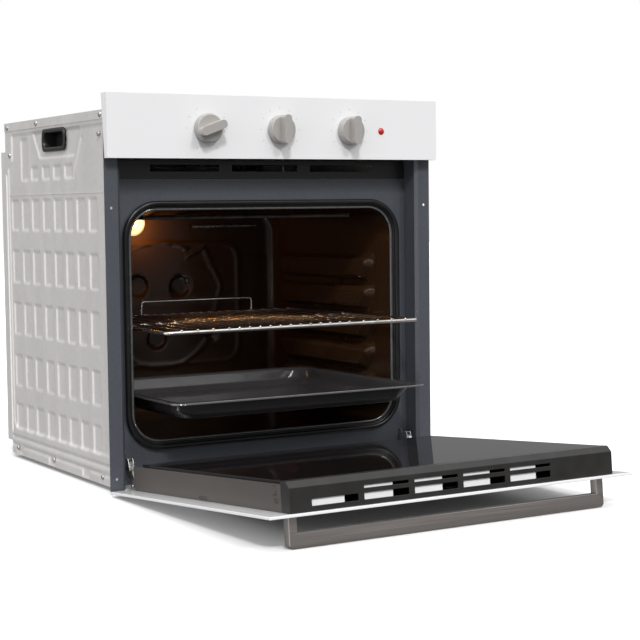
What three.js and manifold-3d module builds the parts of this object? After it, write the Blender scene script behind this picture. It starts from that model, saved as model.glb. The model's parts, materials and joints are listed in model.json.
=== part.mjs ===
// A built-in electric wall oven: steel casing, enamelled front frame and cavity, glass drop-down
// door on two hinge arms, control fascia with three knobs, wire shelf and baking tray.
//
// Millimetres. +X is to the right seen from the front, +Y goes into the cabinet, +Z is up. The
// origin is on the underside of the base, on the centre line, in the plane of the cabinet front.
// The door is shown let down to its stop, with the shelf and the tray drawn out a little.
import * as THREE from "three";
import { mergeVertices } from "three/addons/utils/BufferGeometryUtils.js";
import Module from "manifold-3d";

const wasm = await Module();
wasm.setup();

// ---------------------------------------------------------------- driving dimensions
const FRONT_WIDTH = 595;
const FRONT_HEIGHT = 598;
const FRONT_STANDOFF = 20; // from the cabinet front to the outer face of fascia and door
const FRONT_BOTTOM = 4; // lower edge of the closed door above the base underside
const FLANGE_OVERLAP = 17.5; // how far the front reaches past the casing on each side
const BODY_DEPTH = 470; // cabinet front to the back of the casing
const BODY_TOP_STEP = 22; // the casing's top lies this far under the fascia's
const FASCIA_HEIGHT = 97.5;
const DOOR_GAP = 3; // between fascia and door
const VENT_BAND = 29.5; // height of the air outlet strip under the fascia
const TOP_PLATE = 48; // front plate above the cavity opening
const CAVITY_FLOOR = 66;
const CAVITY_SIDE_SPACE = 40; // casing outside to cavity inside
const CAVITY_BACK_SPACE = 35; // casing back to cavity back
const RECESS_DEPTH = 34; // cabinet front to the front plate
const OPENING_RADIUS = 45;

// sheets, glass and the gaps between pieces
const CASING_SHEET = 0.8;
const FRAME_SHEET = 1;
const CAVITY_SHEET = 1;
const GLASS = 4;
const FIT = 0.3; // between pieces that touch

// door and its hinges
const DOOR_OPEN_DEG = 85.2;
const PIVOT_Y = -10.5;
const PIVOT_Z = 6.5;
const PIN_RADIUS = 2.5;
const PIN_CLEARANCE = 0.3;
const HINGE_INSET = 40.5; // hinge centre in from the front's side edge
const ARM_THICKNESS = 6;
const ARM_END_RADIUS = 4.5;
const CASE_WIDTH = 14;
const CASE_SHEET = 1;
const CASE_LENGTH = 195;
const DOOR_SIDE_INSET = 32; // door frame in from the glass edge
const DOOR_TOP_INSET = 5;
const DOOR_INNER_FACE = 24.6; // inner glass face behind the cabinet front, door closed
const TRIM_HEIGHT = 21.5;
const TRIM_WALL = 2.5;
const INNER_GLASS_BOTTOM = 46;
const HANDLE_DEPTH = 19.5;
const HANDLE_HEIGHT = 14;
const HANDLE_STANDOFF = 23; // finger gap between glass and bar
const HANDLE_DROP = 27.5; // bar centre below the door's top edge
const HANDLE_POST = 12;
const HANDLE_INSET = 38;

// cavity fittings
const LEVELS = 5;
const FIRST_LEVEL = 70; // lowest guide above the cavity floor
const LEVEL_PITCH = 51;
const GUIDE_DEPTH = 18;
const GROOVE = 14; // free height between one guide and the next
const GUIDE_START = 75;
const GUIDE_END_SPACE = 35;
const RACK_LEVEL = 2;
const TRAY_LEVEL = 0;
const RUNNER_CLEARANCE = 10.5; // shelf and tray edge to cavity wall
const RACK_PULL = 103;
const TRAY_PULL = 128;
const STORED_FRONT = 38; // where the front of shelf or tray is when pushed home
const STORED_BACK_SPACE = 7;
const RAIL_RADIUS = 3;
const WIRE_RADIUS = 1.5;
const WIDE_PITCH = 26.8;
const NARROW_PITCH = 18.05;
const WIDE_GAPS = 4; // at each side of the shelf
const NARROW_GAPS = 12;
const TRAY_DEPTH = 27;
const TRAY_SHEET = 0.8;
const TRAY_RIM = 15;
const TRAY_SLOPE = 10;
const TRAY_RIM_SHEET = 1.2;
const TRAY_CORNER = 18;
const TRAY_OVERHANG = 2; // the tray's front rim comes further out than its runners
const TRAY_PLAY = 1.5;
const GASKET_LIP = 3;
const GASKET_WIDTH = 11;
const GASKET_DEPTH = 9;
const ELEMENT_RADIUS = 3.2;

// controls
const KNOB_X = [-131, -2, 127];
const KNOB_DROP = 51.4; // knob centre below the top of the fascia
const KNOB_RADIUS = 22.5;
const KNOB_SKIRT = 12;
const KNOB_GRIP = 14;
const KNOB_GRIP_WIDTH = 13;
const SELECTOR_REST_DEG = 70;
const SPINDLE_RADIUS = 3;
const SPINDLE_HOLE = 5.5;
const PILOT_X = 188;
const PILOT_RADIUS = 5.4;

// cooling
const PARTITION_Z_ABOVE = 27; // cooling compartment floor above the cavity roof
const FAN_Y_FROM_BACK = 140;
const FAN_RADIUS = 30;
const FAN_LENGTH = 220;
const FAN_BLADES = 16;
const DUCT_HALF = 215;

// ---------------------------------------------------------------- derived places
const HALF_FRONT = FRONT_WIDTH / 2;
const FRONT_Y = -FRONT_STANDOFF;
const FRONT_TOP = FRONT_BOTTOM + FRONT_HEIGHT;
const FASCIA_BOTTOM = FRONT_TOP - FASCIA_HEIGHT;
const DOOR_TOP = FASCIA_BOTTOM - DOOR_GAP;
const HALF_BODY = HALF_FRONT - FLANGE_OVERLAP;
const BODY_TOP = FRONT_TOP - BODY_TOP_STEP;
const INSIDE = HALF_BODY - CASING_SHEET - FIT; // half width between the side panels
const UNDER_LID = BODY_TOP - CASING_SHEET - FIT;
const CAVITY_HALF = HALF_BODY - CAVITY_SIDE_SPACE;
const CAVITY_TOP = FASCIA_BOTTOM - VENT_BAND - TOP_PLATE;
const CAVITY_BACK = BODY_DEPTH - CAVITY_BACK_SPACE;
const PLATE_FRONT = RECESS_DEPTH + FIT;
const PLATE_BACK = PLATE_FRONT + CASING_SHEET;
const CAVITY_FRONT = PLATE_BACK + FIT;
const PARTITION_Z = CAVITY_TOP + PARTITION_Z_ABOVE;
const HINGE_X = HALF_FRONT - HINGE_INSET;
const KNOB_Z = FRONT_TOP - KNOB_DROP;
const RUNNER_HALF = CAVITY_HALF - RUNNER_CLEARANCE;
const levelZ = (level) => CAVITY_FLOOR + FIRST_LEVEL + level * LEVEL_PITCH;

// ---------------------------------------------------------------- finishes
const finish = (color, roughness, metalness) =>
  new THREE.MeshStandardMaterial({ color, roughness, metalness });
const FINISHES = {
  galvanised: finish(0xbfc0be, 0.45, 0.8),
  frameEnamel: finish(0x4f565c, 0.45, 0.3),
  cavityEnamel: finish(0x2a2624, 0.3, 0.2),
  whiteEnamel: finish(0xf2f2f2, 0.3, 0.0),
  satinGrey: finish(0xb5b1aa, 0.5, 0.3),
  chrome: finish(0xd8d8d8, 0.15, 1.0),
  steel: finish(0x9fa3a6, 0.35, 1.0),
  handle: finish(0xb3a596, 0.35, 1.0),
  rubber: finish(0x161616, 0.8, 0.0),
  blackPlastic: finish(0x18181a, 0.5, 0.0),
  whiteGlass: finish(0xf4f4f4, 0.08, 0.0),
  darkGlass: finish(0x101214, 0.05, 0.0),
  redLens: finish(0xb01818, 0.2, 0.0),
  lampGlass: finish(0xffe9c0, 0.2, 0.0),
  wool: finish(0xd9cfa8, 0.95, 0.0),
  ceramic: finish(0xe8e2d4, 0.6, 0.0),
};

// ---------------------------------------------------------------- shape tools
function toSolid(geometry) {
  const bare = geometry.index ? geometry.toNonIndexed() : geometry.clone();
  bare.deleteAttribute("normal");
  bare.deleteAttribute("uv");
  const merged = mergeVertices(bare, 1e-4);
  return new wasm.Manifold(
    new wasm.Mesh({
      numProp: 3,
      vertProperties: merged.attributes.position.array,
      triVerts: new Uint32Array(merged.index.array),
    }),
  );
}

function toGeometry(solid) {
  const mesh = solid.getMesh();
  const geometry = new THREE.BufferGeometry();
  geometry.setAttribute("position", new THREE.BufferAttribute(mesh.vertProperties, 3));
  geometry.setIndex(new THREE.BufferAttribute(mesh.triVerts, 1));
  return geometry;
}

const join = (first, ...others) =>
  toGeometry(others.reduce((sum, next) => sum.add(toSolid(next)), toSolid(first)));
const cut = (first, ...tools) =>
  toGeometry(tools.reduce((rest, tool) => rest.subtract(toSolid(tool)), toSolid(first)));

function box(x0, x1, y0, y1, z0, z1) {
  const geometry = new THREE.BoxGeometry(x1 - x0, y1 - y0, z1 - z0);
  return geometry.translate((x0 + x1) / 2, (y0 + y1) / 2, (z0 + z1) / 2);
}

// A box on one side of the oven: near and far are distances from the centre line.
const sideBox = (side, near, far, y0, y1, z0, z1) =>
  box(Math.min(side * near, side * far), Math.max(side * near, side * far), y0, y1, z0, z1);

const outline = (points) => new THREE.Shape(points.map(([a, b]) => new THREE.Vector2(a, b)));

function rounded(path, a0, a1, b0, b1, radius) {
  path.moveTo(a0 + radius, b0);
  path.lineTo(a1 - radius, b0);
  path.absarc(a1 - radius, b0 + radius, radius, -Math.PI / 2, 0);
  path.lineTo(a1, b1 - radius);
  path.absarc(a1 - radius, b1 - radius, radius, 0, Math.PI / 2);
  path.lineTo(a0 + radius, b1);
  path.absarc(a0 + radius, b1 - radius, radius, Math.PI / 2, Math.PI);
  path.lineTo(a0, b0 + radius);
  path.absarc(a0 + radius, b0 + radius, radius, Math.PI, 1.5 * Math.PI);
  return path;
}

const extrude = (shape, depth, curveSegments = 6) =>
  new THREE.ExtrudeGeometry(shape, { depth, curveSegments, bevelEnabled: false });

// A flat shape drawn in X and Z, thick along Y.
const uprightPlate = (shape, y0, y1, segments) =>
  extrude(shape, y1 - y0, segments).rotateX(Math.PI / 2).translate(0, y1, 0);

// A flat shape drawn in Y and Z, thick along X.
const SIDE_ON = new THREE.Matrix4().makeBasis(
  new THREE.Vector3(0, 1, 0),
  new THREE.Vector3(0, 0, 1),
  new THREE.Vector3(1, 0, 0),
);
const sidePlate = (shape, x0, x1, segments) =>
  extrude(shape, x1 - x0, segments).applyMatrix4(SIDE_ON).translate(x0, 0, 0);

// A flat shape drawn in X and Y, thick along Z.
const levelPlate = (shape, z0, z1, segments) =>
  extrude(shape, z1 - z0, segments).translate(0, 0, z0);

// A round bar between two points.
function bar(from, to, radius, sides = 8) {
  const start = new THREE.Vector3(...from);
  const way = new THREE.Vector3(...to).sub(start);
  const turn = new THREE.Quaternion().setFromUnitVectors(
    new THREE.Vector3(0, 1, 0),
    way.clone().normalize(),
  );
  const middle = start.clone().addScaledVector(way, 0.5);
  return new THREE.CylinderGeometry(radius, radius, way.length(), sides)
    .applyQuaternion(turn)
    .translate(middle.x, middle.y, middle.z);
}

const barX = (x0, x1, y, z, radius, sides) => bar([x0, y, z], [x1, y, z], radius, sides);
const barY = (y0, y1, x, z, radius, sides) => bar([x, y0, z], [x, y1, z], radius, sides);

// ---------------------------------------------------------------- scene graph
const oven = new THREE.Group();
const doorGroup = new THREE.Group(); // holds the closed door's pieces, let down about the hinge pin
doorGroup.position.set(0, PIVOT_Y, PIVOT_Z);
doorGroup.rotation.x = THREE.MathUtils.degToRad(DOOR_OPEN_DEG);
const doorPieces = new THREE.Group();
doorPieces.position.set(0, -PIVOT_Y, -PIVOT_Z);
doorGroup.add(doorPieces);
oven.add(doorGroup);

function add(name, geometry, material, parent = oven) {
  const mesh = new THREE.Mesh(geometry, material);
  mesh.name = name;
  parent.add(mesh);
  return mesh;
}

const SIDES = [
  ["left", -1],
  ["right", 1],
];

// ---------------------------------------------------------------- casing
const GRIP = { y0: 180, y1: 302, z0: BODY_TOP - 56, z1: BODY_TOP - 18, depth: 25, wall: 2, lip: 3.5 };
const LID_FLANGE = 14;

function sidePanel(side) {
  const panel = sideBox(side, HALF_BODY - CASING_SHEET, HALF_BODY, FIT, BODY_DEPTH, 0, UNDER_LID);
  const window = sideBox(side, HALF_BODY - 5, HALF_BODY + 5, GRIP.y0, GRIP.y1, GRIP.z0, GRIP.z1);
  return cut(panel, window);
}

function carryGrip(side) {
  const { y0, y1, z0, z1, depth, wall, lip } = GRIP;
  const face = HALF_BODY + FIT;
  const rim = sideBox(side, face, face + wall, y0 - lip, y1 + lip, z0 - lip, z1 + lip);
  const inner = HALF_BODY - depth;
  const cup = sideBox(side, inner, face + wall / 2, y0 + FIT, y1 - FIT, z0 + FIT, z1 - FIT);
  const edge = FIT + wall;
  const hollow = [y0 + edge, y1 - edge, z0 + edge, z1 - edge];
  return cut(join(rim, cup), sideBox(side, inner + wall, face + 2 * wall, ...hollow));
}

function topCover() {
  const half = HALF_BODY + FIT + CASING_SHEET;
  const outer = box(-half, half, FIT, BODY_DEPTH, BODY_TOP - LID_FLANGE, BODY_TOP);
  const room = HALF_BODY + FIT;
  return cut(outer, box(-room, room, -1, BODY_DEPTH + 1, 0, BODY_TOP - CASING_SHEET));
}

const BASE_TONGUE = { half: HALF_FRONT - 52.5, front: -3 }; // reaches out between the hinges

function basePanel() {
  const front = PLATE_BACK + 1;
  const back = BODY_DEPTH - CASING_SHEET - FIT;
  const shape = outline([
    [-BASE_TONGUE.half, BASE_TONGUE.front],
    [BASE_TONGUE.half, BASE_TONGUE.front],
    [BASE_TONGUE.half, front],
    [INSIDE, front],
    [INSIDE, back],
    [-INSIDE, back],
    [-INSIDE, front],
    [-BASE_TONGUE.half, front],
  ]);
  return levelPlate(shape, 0, CASING_SHEET);
}

const REAR_COVER = { half: HALF_BODY - 14, depth: 61, z0: 16, z1: BODY_TOP - 48 };
const TERMINAL = { x: -200, z: BODY_TOP - 26, width: 60, height: 24, depth: 18, wall: 1.5 };

function rearPanel() {
  const panel = box(-INSIDE, INSIDE, BODY_DEPTH - CASING_SHEET, BODY_DEPTH, CASING_SHEET + FIT, UNDER_LID);
  const wireHole = barY(BODY_DEPTH - 5, BODY_DEPTH + 5, TERMINAL.x, TERMINAL.z, 6, 16);
  return cut(panel, wireHole);
}

function rearCover() {
  const { half, depth, z0, z1 } = REAR_COVER;
  const y0 = BODY_DEPTH + FIT;
  const y1 = BODY_DEPTH + depth;
  const inner = half - CASING_SHEET;
  const hollow = box(-inner, inner, y0 - 1, y1 - CASING_SHEET, z0 + CASING_SHEET, z1 - CASING_SHEET);
  return cut(box(-half, half, y0, y1, z0, z1), hollow);
}

function terminalBlock() {
  const { x, z, width, height, depth } = TERMINAL;
  const y0 = BODY_DEPTH + FIT;
  const block = box(x - width / 2, x + width / 2, y0, y0 + depth, z - height / 2, z + height / 2);
  const holes = [-1, 0, 1].map((n) =>
    barY(y0 + depth - 8, y0 + depth + 1, x + (n * width) / 3, z, 3, 12),
  );
  return cut(block, ...holes);
}

function terminalCover() {
  const { x, z, width, height, depth, wall } = TERMINAL;
  const y0 = BODY_DEPTH + FIT;
  const half = width / 2 + 1 + wall;
  const up = height / 2 + 1 + wall;
  const outer = box(x - half, x + half, y0, y0 + depth + 8 + wall, z - up, z + up);
  const hollow = box(
    x - half + wall, x + half - wall, y0 - 1, y0 + depth + 8, z - up + wall, z + up - wall,
  );
  const inlet = bar([x, y0 + depth, z - up - 1], [x, y0 + depth, z - up + wall + 1], 5, 16);
  return cut(outer, hollow, inlet);
}

// ---------------------------------------------------------------- front frame
const COLUMN_INNER = HALF_FRONT - 29;
const COLUMN_OUTER = HALF_FRONT - 2;
const COLUMN_CHAMFER = 5;
const COLUMN_TOP_STEP = 4;
const COLUMN_LAP = 0.2; // the flange is thinner by this where it laps the casing
// Heights are above the door's lower edge.
const FLANGE_SCREWS = { fromEdge: 11, radius: 2.2, heights: [14, 426] };

function column(side) {
  const t = FRAME_SHEET;
  const c = COLUMN_CHAMFER;
  const k = t * Math.tan(Math.PI / 8);
  const back = RECESS_DEPTH;
  const reach = INSIDE - FIT;
  const lap = HALF_BODY + 2 * FIT + CASING_SHEET;
  const points = [
    [COLUMN_OUTER, -t],
    [COLUMN_OUTER, 0],
    [lap, 0],
    [lap, -COLUMN_LAP],
    [COLUMN_INNER + c + k, -COLUMN_LAP],
    [COLUMN_INNER + t, c - t + k],
    [COLUMN_INNER + t, back - t],
    [reach, back - t],
    [reach, back],
    [COLUMN_INNER, back],
    [COLUMN_INNER, c - t],
    [COLUMN_INNER + c, -t],
  ];
  const post = levelPlate(outline(points.map(([x, y]) => [side * x, y])), 0, UNDER_LID - COLUMN_TOP_STEP);
  const screwX = side * (COLUMN_OUTER - FLANGE_SCREWS.fromEdge);
  const holes = FLANGE_SCREWS.heights.map((up) =>
    barY(-t - 1, 1, screwX, FRONT_BOTTOM + up, FLANGE_SCREWS.radius, 10),
  );
  return cut(post, ...holes);
}

const HINGE_SLOT = { z0: 20, z1: 48, half: 4 };

function facePlate() {
  const shape = outline([
    [-INSIDE, CASING_SHEET + FIT],
    [INSIDE, CASING_SHEET + FIT],
    [INSIDE, FASCIA_BOTTOM - VENT_BAND - FIT],
    [-INSIDE, FASCIA_BOTTOM - VENT_BAND - FIT],
  ]);
  const opening = rounded(
    new THREE.Path(), -CAVITY_HALF, CAVITY_HALF, CAVITY_FLOOR, CAVITY_TOP, OPENING_RADIUS,
  );
  shape.holes.push(opening);
  const slots = SIDES.map(([, side]) => {
    const { z0, z1, half } = HINGE_SLOT;
    return box(side * HINGE_X - half, side * HINGE_X + half, PLATE_FRONT - 5, PLATE_BACK + 5, z0, z1);
  });
  return cut(uprightPlate(shape, PLATE_FRONT, PLATE_BACK, 10), ...slots);
}

const VENT = { count: 3, width: 120, height: 10.5, pitch: 143.5, drop: 8 };

function airOutlet() {
  const z1 = FASCIA_BOTTOM - 0.5;
  const strip = box(-INSIDE, INSIDE, PLATE_FRONT, PLATE_BACK, FASCIA_BOTTOM - VENT_BAND, z1);
  const slots = [];
  for (let n = 0; n < VENT.count; n++) {
    const x = (n - (VENT.count - 1) / 2) * VENT.pitch;
    const top = FASCIA_BOTTOM - VENT.drop;
    const half = VENT.width / 2;
    slots.push(box(x - half, x + half, PLATE_FRONT - 1, PLATE_BACK + 1, top - VENT.height, top));
  }
  return cut(strip, ...slots);
}

function doorGasket() {
  const lip = GASKET_LIP;
  const far = lip + GASKET_WIDTH;
  const half = CAVITY_HALF;
  const ring = rounded(
    new THREE.Shape(), -half - far, half + far, CAVITY_FLOOR - far, CAVITY_TOP + far, OPENING_RADIUS + far,
  );
  ring.holes.push(
    rounded(
      new THREE.Path(), -half - lip, half + lip, CAVITY_FLOOR - lip, CAVITY_TOP + lip, OPENING_RADIUS + lip,
    ),
  );
  return uprightPlate(ring, PLATE_FRONT - GASKET_DEPTH, PLATE_FRONT - FIT, 8);
}

// ---------------------------------------------------------------- cavity
const LAMP = { x: -56, zDrop: 24, radius: 20 };
const PROBE = { x0: 60, x1: 190, zDrop: 32, radius: 3 };
const TOP_ELEMENT_Z = CAVITY_TOP - 13;
const LOW_ELEMENT_Z = CAVITY_FLOOR - 10;
const TERMINAL_HALF = 25;
const LAMP_Z = CAVITY_TOP - LAMP.zDrop;
const PROBE_Z = CAVITY_TOP - PROBE.zDrop;

const cavitySheet = (z0, z1) =>
  box(-CAVITY_HALF - 1, CAVITY_HALF + 1, CAVITY_FRONT, CAVITY_BACK + 1, z0, z1);
const cavityFloor = () => cavitySheet(CAVITY_FLOOR - CAVITY_SHEET, CAVITY_FLOOR);
const cavityRoof = () => cavitySheet(CAVITY_TOP, CAVITY_TOP + CAVITY_SHEET);

function guideBlock(side, level, inset) {
  const top = levelZ(level) - inset;
  const bottom = levelZ(level) - LEVEL_PITCH + GROOVE + inset;
  const crest = CAVITY_HALF - GUIDE_DEPTH + inset;
  const foot = CAVITY_HALF + (inset ? 5 : 0.5);
  const start = GUIDE_START + inset;
  const end = CAVITY_BACK - GUIDE_END_SPACE - inset;
  const plan = outline([
    [side * foot, start],
    [side * crest, start + GUIDE_DEPTH],
    [side * crest, end - GUIDE_DEPTH / 2],
    [side * foot, end],
  ]);
  return levelPlate(plan, bottom, top);
}

function cavityWall(side) {
  const wall = sideBox(
    side, CAVITY_HALF, CAVITY_HALF + CAVITY_SHEET, CAVITY_FRONT, CAVITY_BACK - FIT,
    CAVITY_FLOOR + FIT, CAVITY_TOP - FIT,
  );
  const guides = [];
  const hollows = [];
  for (let level = 0; level < LEVELS; level++) {
    guides.push(guideBlock(side, level, 0));
    hollows.push(guideBlock(side, level, CAVITY_SHEET));
  }
  return cut(join(wall, ...guides), ...hollows);
}

function cavityBack() {
  const half = CAVITY_HALF - FIT;
  const panel = box(
    -half, half, CAVITY_BACK, CAVITY_BACK + CAVITY_SHEET, CAVITY_FLOOR + FIT, CAVITY_TOP - FIT,
  );
  const through = (x, z, radius, sides) => barY(CAVITY_BACK - 5, CAVITY_BACK + 5, x, z, radius, sides);
  return cut(
    panel,
    through(LAMP.x, LAMP_Z, LAMP.radius - 2, 24),
    through(-TERMINAL_HALF, TOP_ELEMENT_Z, ELEMENT_RADIUS + 1, 12),
    through(TERMINAL_HALF, TOP_ELEMENT_Z, ELEMENT_RADIUS + 1, 12),
    through(PROBE.x1, PROBE_Z, PROBE.radius + 1, 12),
  );
}

const WOOL = { front: 80, outerHalf: INSIDE - 3, gap: 3, backSlab: 20, z0: 3 };

function insulation() {
  const top = PARTITION_Z - 1;
  const back = BODY_DEPTH - 4;
  const inner = CAVITY_HALF + CAVITY_SHEET + WOOL.gap;
  const shell = box(-WOOL.outerHalf, WOOL.outerHalf, WOOL.front, back, WOOL.z0, top);
  const z0 = LOW_ELEMENT_Z - ELEMENT_RADIUS - WOOL.gap;
  const room = box(-inner, inner, 0, back - WOOL.backSlab, z0, CAVITY_TOP + CAVITY_SHEET + WOOL.gap);
  const lampHole = barY(back - WOOL.backSlab - 5, back + 5, LAMP.x, LAMP_Z, LAMP.radius + 2, 20);
  return cut(shell, room, lampHole);
}

function heatingElement(z, front) {
  const half = CAVITY_HALF - 50;
  const middle = CAVITY_BACK - 105;
  const end = CAVITY_BACK + 7;
  const corners = [
    [-TERMINAL_HALF, end],
    [-TERMINAL_HALF, middle],
    [-half, middle],
    [-half, front],
    [half, front],
    [half, middle],
    [TERMINAL_HALF, middle],
    [TERMINAL_HALF, end],
  ];
  const rods = corners.slice(1).map(([x, y], n) => {
    const [px, py] = corners[n];
    return bar([px, py, z], [x, y, z], ELEMENT_RADIUS, 8);
  });
  const knuckles = corners.slice(1, -1).map(([x, y]) =>
    new THREE.CylinderGeometry(ELEMENT_RADIUS, ELEMENT_RADIUS, ELEMENT_RADIUS * 2, 8)
      .rotateX(Math.PI / 2)
      .translate(x, y, z),
  );
  const flange = box(
    -TERMINAL_HALF - 6, TERMINAL_HALF + 6, CAVITY_BACK + CAVITY_SHEET + 2, CAVITY_BACK + CAVITY_SHEET + 3,
    z - 5, z + 5,
  );
  return join(...rods, ...knuckles, flange);
}

function lampHolder() {
  const y0 = CAVITY_BACK + CAVITY_SHEET + FIT;
  const cup = barY(y0, y0 + 25, LAMP.x, LAMP_Z, LAMP.radius - 1, 24);
  return cut(cup, barY(y0 - 1, y0 + 18, LAMP.x, LAMP_Z, LAMP.radius - 9, 20));
}

function lampLens() {
  const back = CAVITY_BACK - FIT;
  const r = LAMP.radius;
  const profile = [
    [r + 3, back],
    [r + 3, back - 3],
    [r, back - 4],
    [r - 2, back - 10],
    [r - 9, back - 15],
    [0, back - 17],
    [0, back - 15],
    [r - 10, back - 13],
    [r - 4, back - 9],
    [r - 3, back],
  ];
  return closedTurn(profile, LAMP.x, LAMP_Z, 24);
}

// Turns a closed ring of points about an axis along Y. Points on the axis keep it one body.
function closedTurn(profile, x, z, sides) {
  const points = [...profile, profile[0]].map(([radius, y]) => new THREE.Vector2(radius, y));
  const geometry = new THREE.LatheGeometry(points, sides).translate(x, 0, z);
  return toSolid(geometry).volume() < 0 ? flipped(geometry) : geometry;
}

function flipped(geometry) {
  const turned = geometry.index ? geometry.toNonIndexed() : geometry.clone();
  const position = turned.attributes.position;
  for (let n = 0; n < position.count; n += 3) {
    const [x, y, z] = [position.getX(n + 1), position.getY(n + 1), position.getZ(n + 1)];
    position.setXYZ(n + 1, position.getX(n + 2), position.getY(n + 2), position.getZ(n + 2));
    position.setXYZ(n + 2, x, y, z);
  }
  return turned;
}

function lampBulb() {
  const back = CAVITY_BACK;
  return closedTurn(
    [
      [0, back - 11],
      [6, back - 9],
      [8, back - 4],
      [7, back + 4],
      [7, back + 15],
      [0, back + 15],
    ],
    LAMP.x, LAMP_Z, 16,
  );
}

function thermostatProbe() {
  const y = CAVITY_BACK - 10;
  const bulb = barX(PROBE.x0, PROBE.x1 + PROBE.radius, y, PROBE_Z, PROBE.radius, 10);
  return join(bulb, barY(y, CAVITY_BACK + 7, PROBE.x1, PROBE_Z, PROBE.radius, 10));
}

// ---------------------------------------------------------------- controls
const FASCIA = { sheet: 1, topReturn: 0.3, bottomReturn: 9 };
const BRACKET = { y0: -4.5, y1: -3.5, half: COLUMN_INNER - 6, z0: FASCIA_BOTTOM + 4, z1: KNOB_Z + 22 };
const SWITCH_FRONT = BRACKET.y1 + FIT;
const SPINDLE_DEPTH = 10;

function controlFascia() {
  const t = FASCIA.sheet;
  const shell = box(-HALF_FRONT, HALF_FRONT, FRONT_Y, -FASCIA.topReturn, FASCIA_BOTTOM, FRONT_TOP);
  const room = box(-HALF_FRONT + t, HALF_FRONT - t, FRONT_Y + t, 5, FASCIA_BOTTOM + t, FRONT_TOP - t);
  const taper = sidePlate(
    outline([
      [-FASCIA.bottomReturn, FASCIA_BOTTOM - 2],
      [-FASCIA.topReturn, FRONT_TOP - 2],
      [6, FRONT_TOP - 2],
      [6, FASCIA_BOTTOM - 2],
    ]),
    -HALF_FRONT - 1, HALF_FRONT + 1,
  );
  const holes = KNOB_X.map((x) => barY(FRONT_Y - 5, FRONT_Y + 5, x, KNOB_Z, SPINDLE_HOLE, 20));
  holes.push(barY(FRONT_Y - 5, FRONT_Y + 5, PILOT_X, KNOB_Z, PILOT_RADIUS + FIT, 20));
  return cut(shell, room, taper, ...holes);
}

function switchBracket() {
  const { y0, y1, half, z0, z1 } = BRACKET;
  const holes = KNOB_X.map((x) => barY(y0 - 5, y1 + 5, x, KNOB_Z, SPINDLE_RADIUS + 1, 16));
  return cut(box(-half, half, y0, y1, z0, z1), ...holes);
}

function spindleBore(x) {
  return barY(SWITCH_FRONT - 1, SWITCH_FRONT + SPINDLE_DEPTH + 2, x, KNOB_Z, SPINDLE_RADIUS + FIT, 16);
}

const SELECTOR_DECK = { half: 22, depth: 30, rise: 20 };
const TAG = { pitch: 14, half: 3, y0: 8, y1: 22, drop: 7 };
const TIMER_DRUM = { depth: 34, radius: 21 };
const TIMER_EAR = { half: 26, depth: 3, rise: 8 };
const THERMOSTAT_BASE = { half: 21, depth: 24, rise: 17 };
const BELLOWS = { y0: 20, y1: 31, radius: 13 };

function selectorSwitch() {
  const x = KNOB_X[0];
  const { half, depth, rise } = SELECTOR_DECK;
  const deck = box(x - half, x + half, SWITCH_FRONT, SWITCH_FRONT + depth, KNOB_Z - rise, KNOB_Z + rise);
  const tags = [-TAG.pitch, 0, TAG.pitch].map((dx) =>
    box(
      x + dx - TAG.half, x + dx + TAG.half, SWITCH_FRONT + TAG.y0, SWITCH_FRONT + TAG.y1,
      KNOB_Z - rise - TAG.drop, KNOB_Z - rise + 1,
    ),
  );
  return cut(join(deck, ...tags), spindleBore(x));
}

function timerUnit() {
  const x = KNOB_X[1];
  const { half, depth, rise } = TIMER_EAR;
  const drum = barY(SWITCH_FRONT, SWITCH_FRONT + TIMER_DRUM.depth, x, KNOB_Z, TIMER_DRUM.radius, 24);
  const ear = box(x - half, x + half, SWITCH_FRONT, SWITCH_FRONT + depth, KNOB_Z - rise, KNOB_Z + rise);
  return cut(join(drum, ear), spindleBore(x));
}

function thermostatBody() {
  const x = KNOB_X[2];
  const { half, depth, rise } = THERMOSTAT_BASE;
  const base = box(x - half, x + half, SWITCH_FRONT, SWITCH_FRONT + depth, KNOB_Z - rise, KNOB_Z + rise);
  const bellows = barY(SWITCH_FRONT + BELLOWS.y0, SWITCH_FRONT + BELLOWS.y1, x, KNOB_Z, BELLOWS.radius, 20);
  return cut(join(base, bellows), spindleBore(x));
}

function pilotLamp() {
  const r = PILOT_RADIUS;
  return closedTurn(
    [
      [0, FRONT_Y - 3],
      [r * 0.6, FRONT_Y - 2.4],
      [r, FRONT_Y - 0.8],
      [r, FRONT_Y + FASCIA.sheet + FIT],
      [r + 2.5, FRONT_Y + FASCIA.sheet + FIT],
      [r + 2.5, BRACKET.y0 - 1],
      [0, BRACKET.y0 - 1],
    ],
    PILOT_X, KNOB_Z, 20,
  );
}

// A knob and its spindle, grip bar upright: built about its own axis, then placed and turned.
function knobShape() {
  const face = -1.5;
  const r = KNOB_RADIUS;
  const skirt = closedTurn(
    [
      [0, face],
      [r, face],
      [r, face - KNOB_SKIRT + 3],
      [r - 2, face - KNOB_SKIRT],
      [0, face - KNOB_SKIRT],
    ],
    0, 0, 28,
  );
  const half = KNOB_GRIP_WIDTH / 2;
  const grip = uprightPlate(
    rounded(new THREE.Shape(), -half, half, -r, r, half - 1), face - KNOB_SKIRT - KNOB_GRIP,
    face - KNOB_SKIRT + 2, 4,
  );
  const spindle = barY(face - 1, SWITCH_FRONT + SPINDLE_DEPTH - FRONT_Y, 0, 0, SPINDLE_RADIUS, 12);
  return join(skirt, grip, spindle);
}

function selectorShape() {
  const pointer = uprightPlate(
    outline([
      [-4, KNOB_RADIUS - 4],
      [4, KNOB_RADIUS - 4],
      [2.5, KNOB_RADIUS + 5],
      [-2.5, KNOB_RADIUS + 5],
    ]),
    -1.5 - KNOB_SKIRT, -3.5,
  );
  return join(knobShape(), pointer);
}

// ---------------------------------------------------------------- cooling
const FAN = { x: -10, y: BODY_DEPTH - FAN_Y_FROM_BACK, z: PARTITION_Z + 62 };
const DUCT = { z0: PARTITION_Z + 21, z1: FASCIA_BOTTOM - 1.5, back: FAN.y - FAN_RADIUS - 38 };

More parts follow.
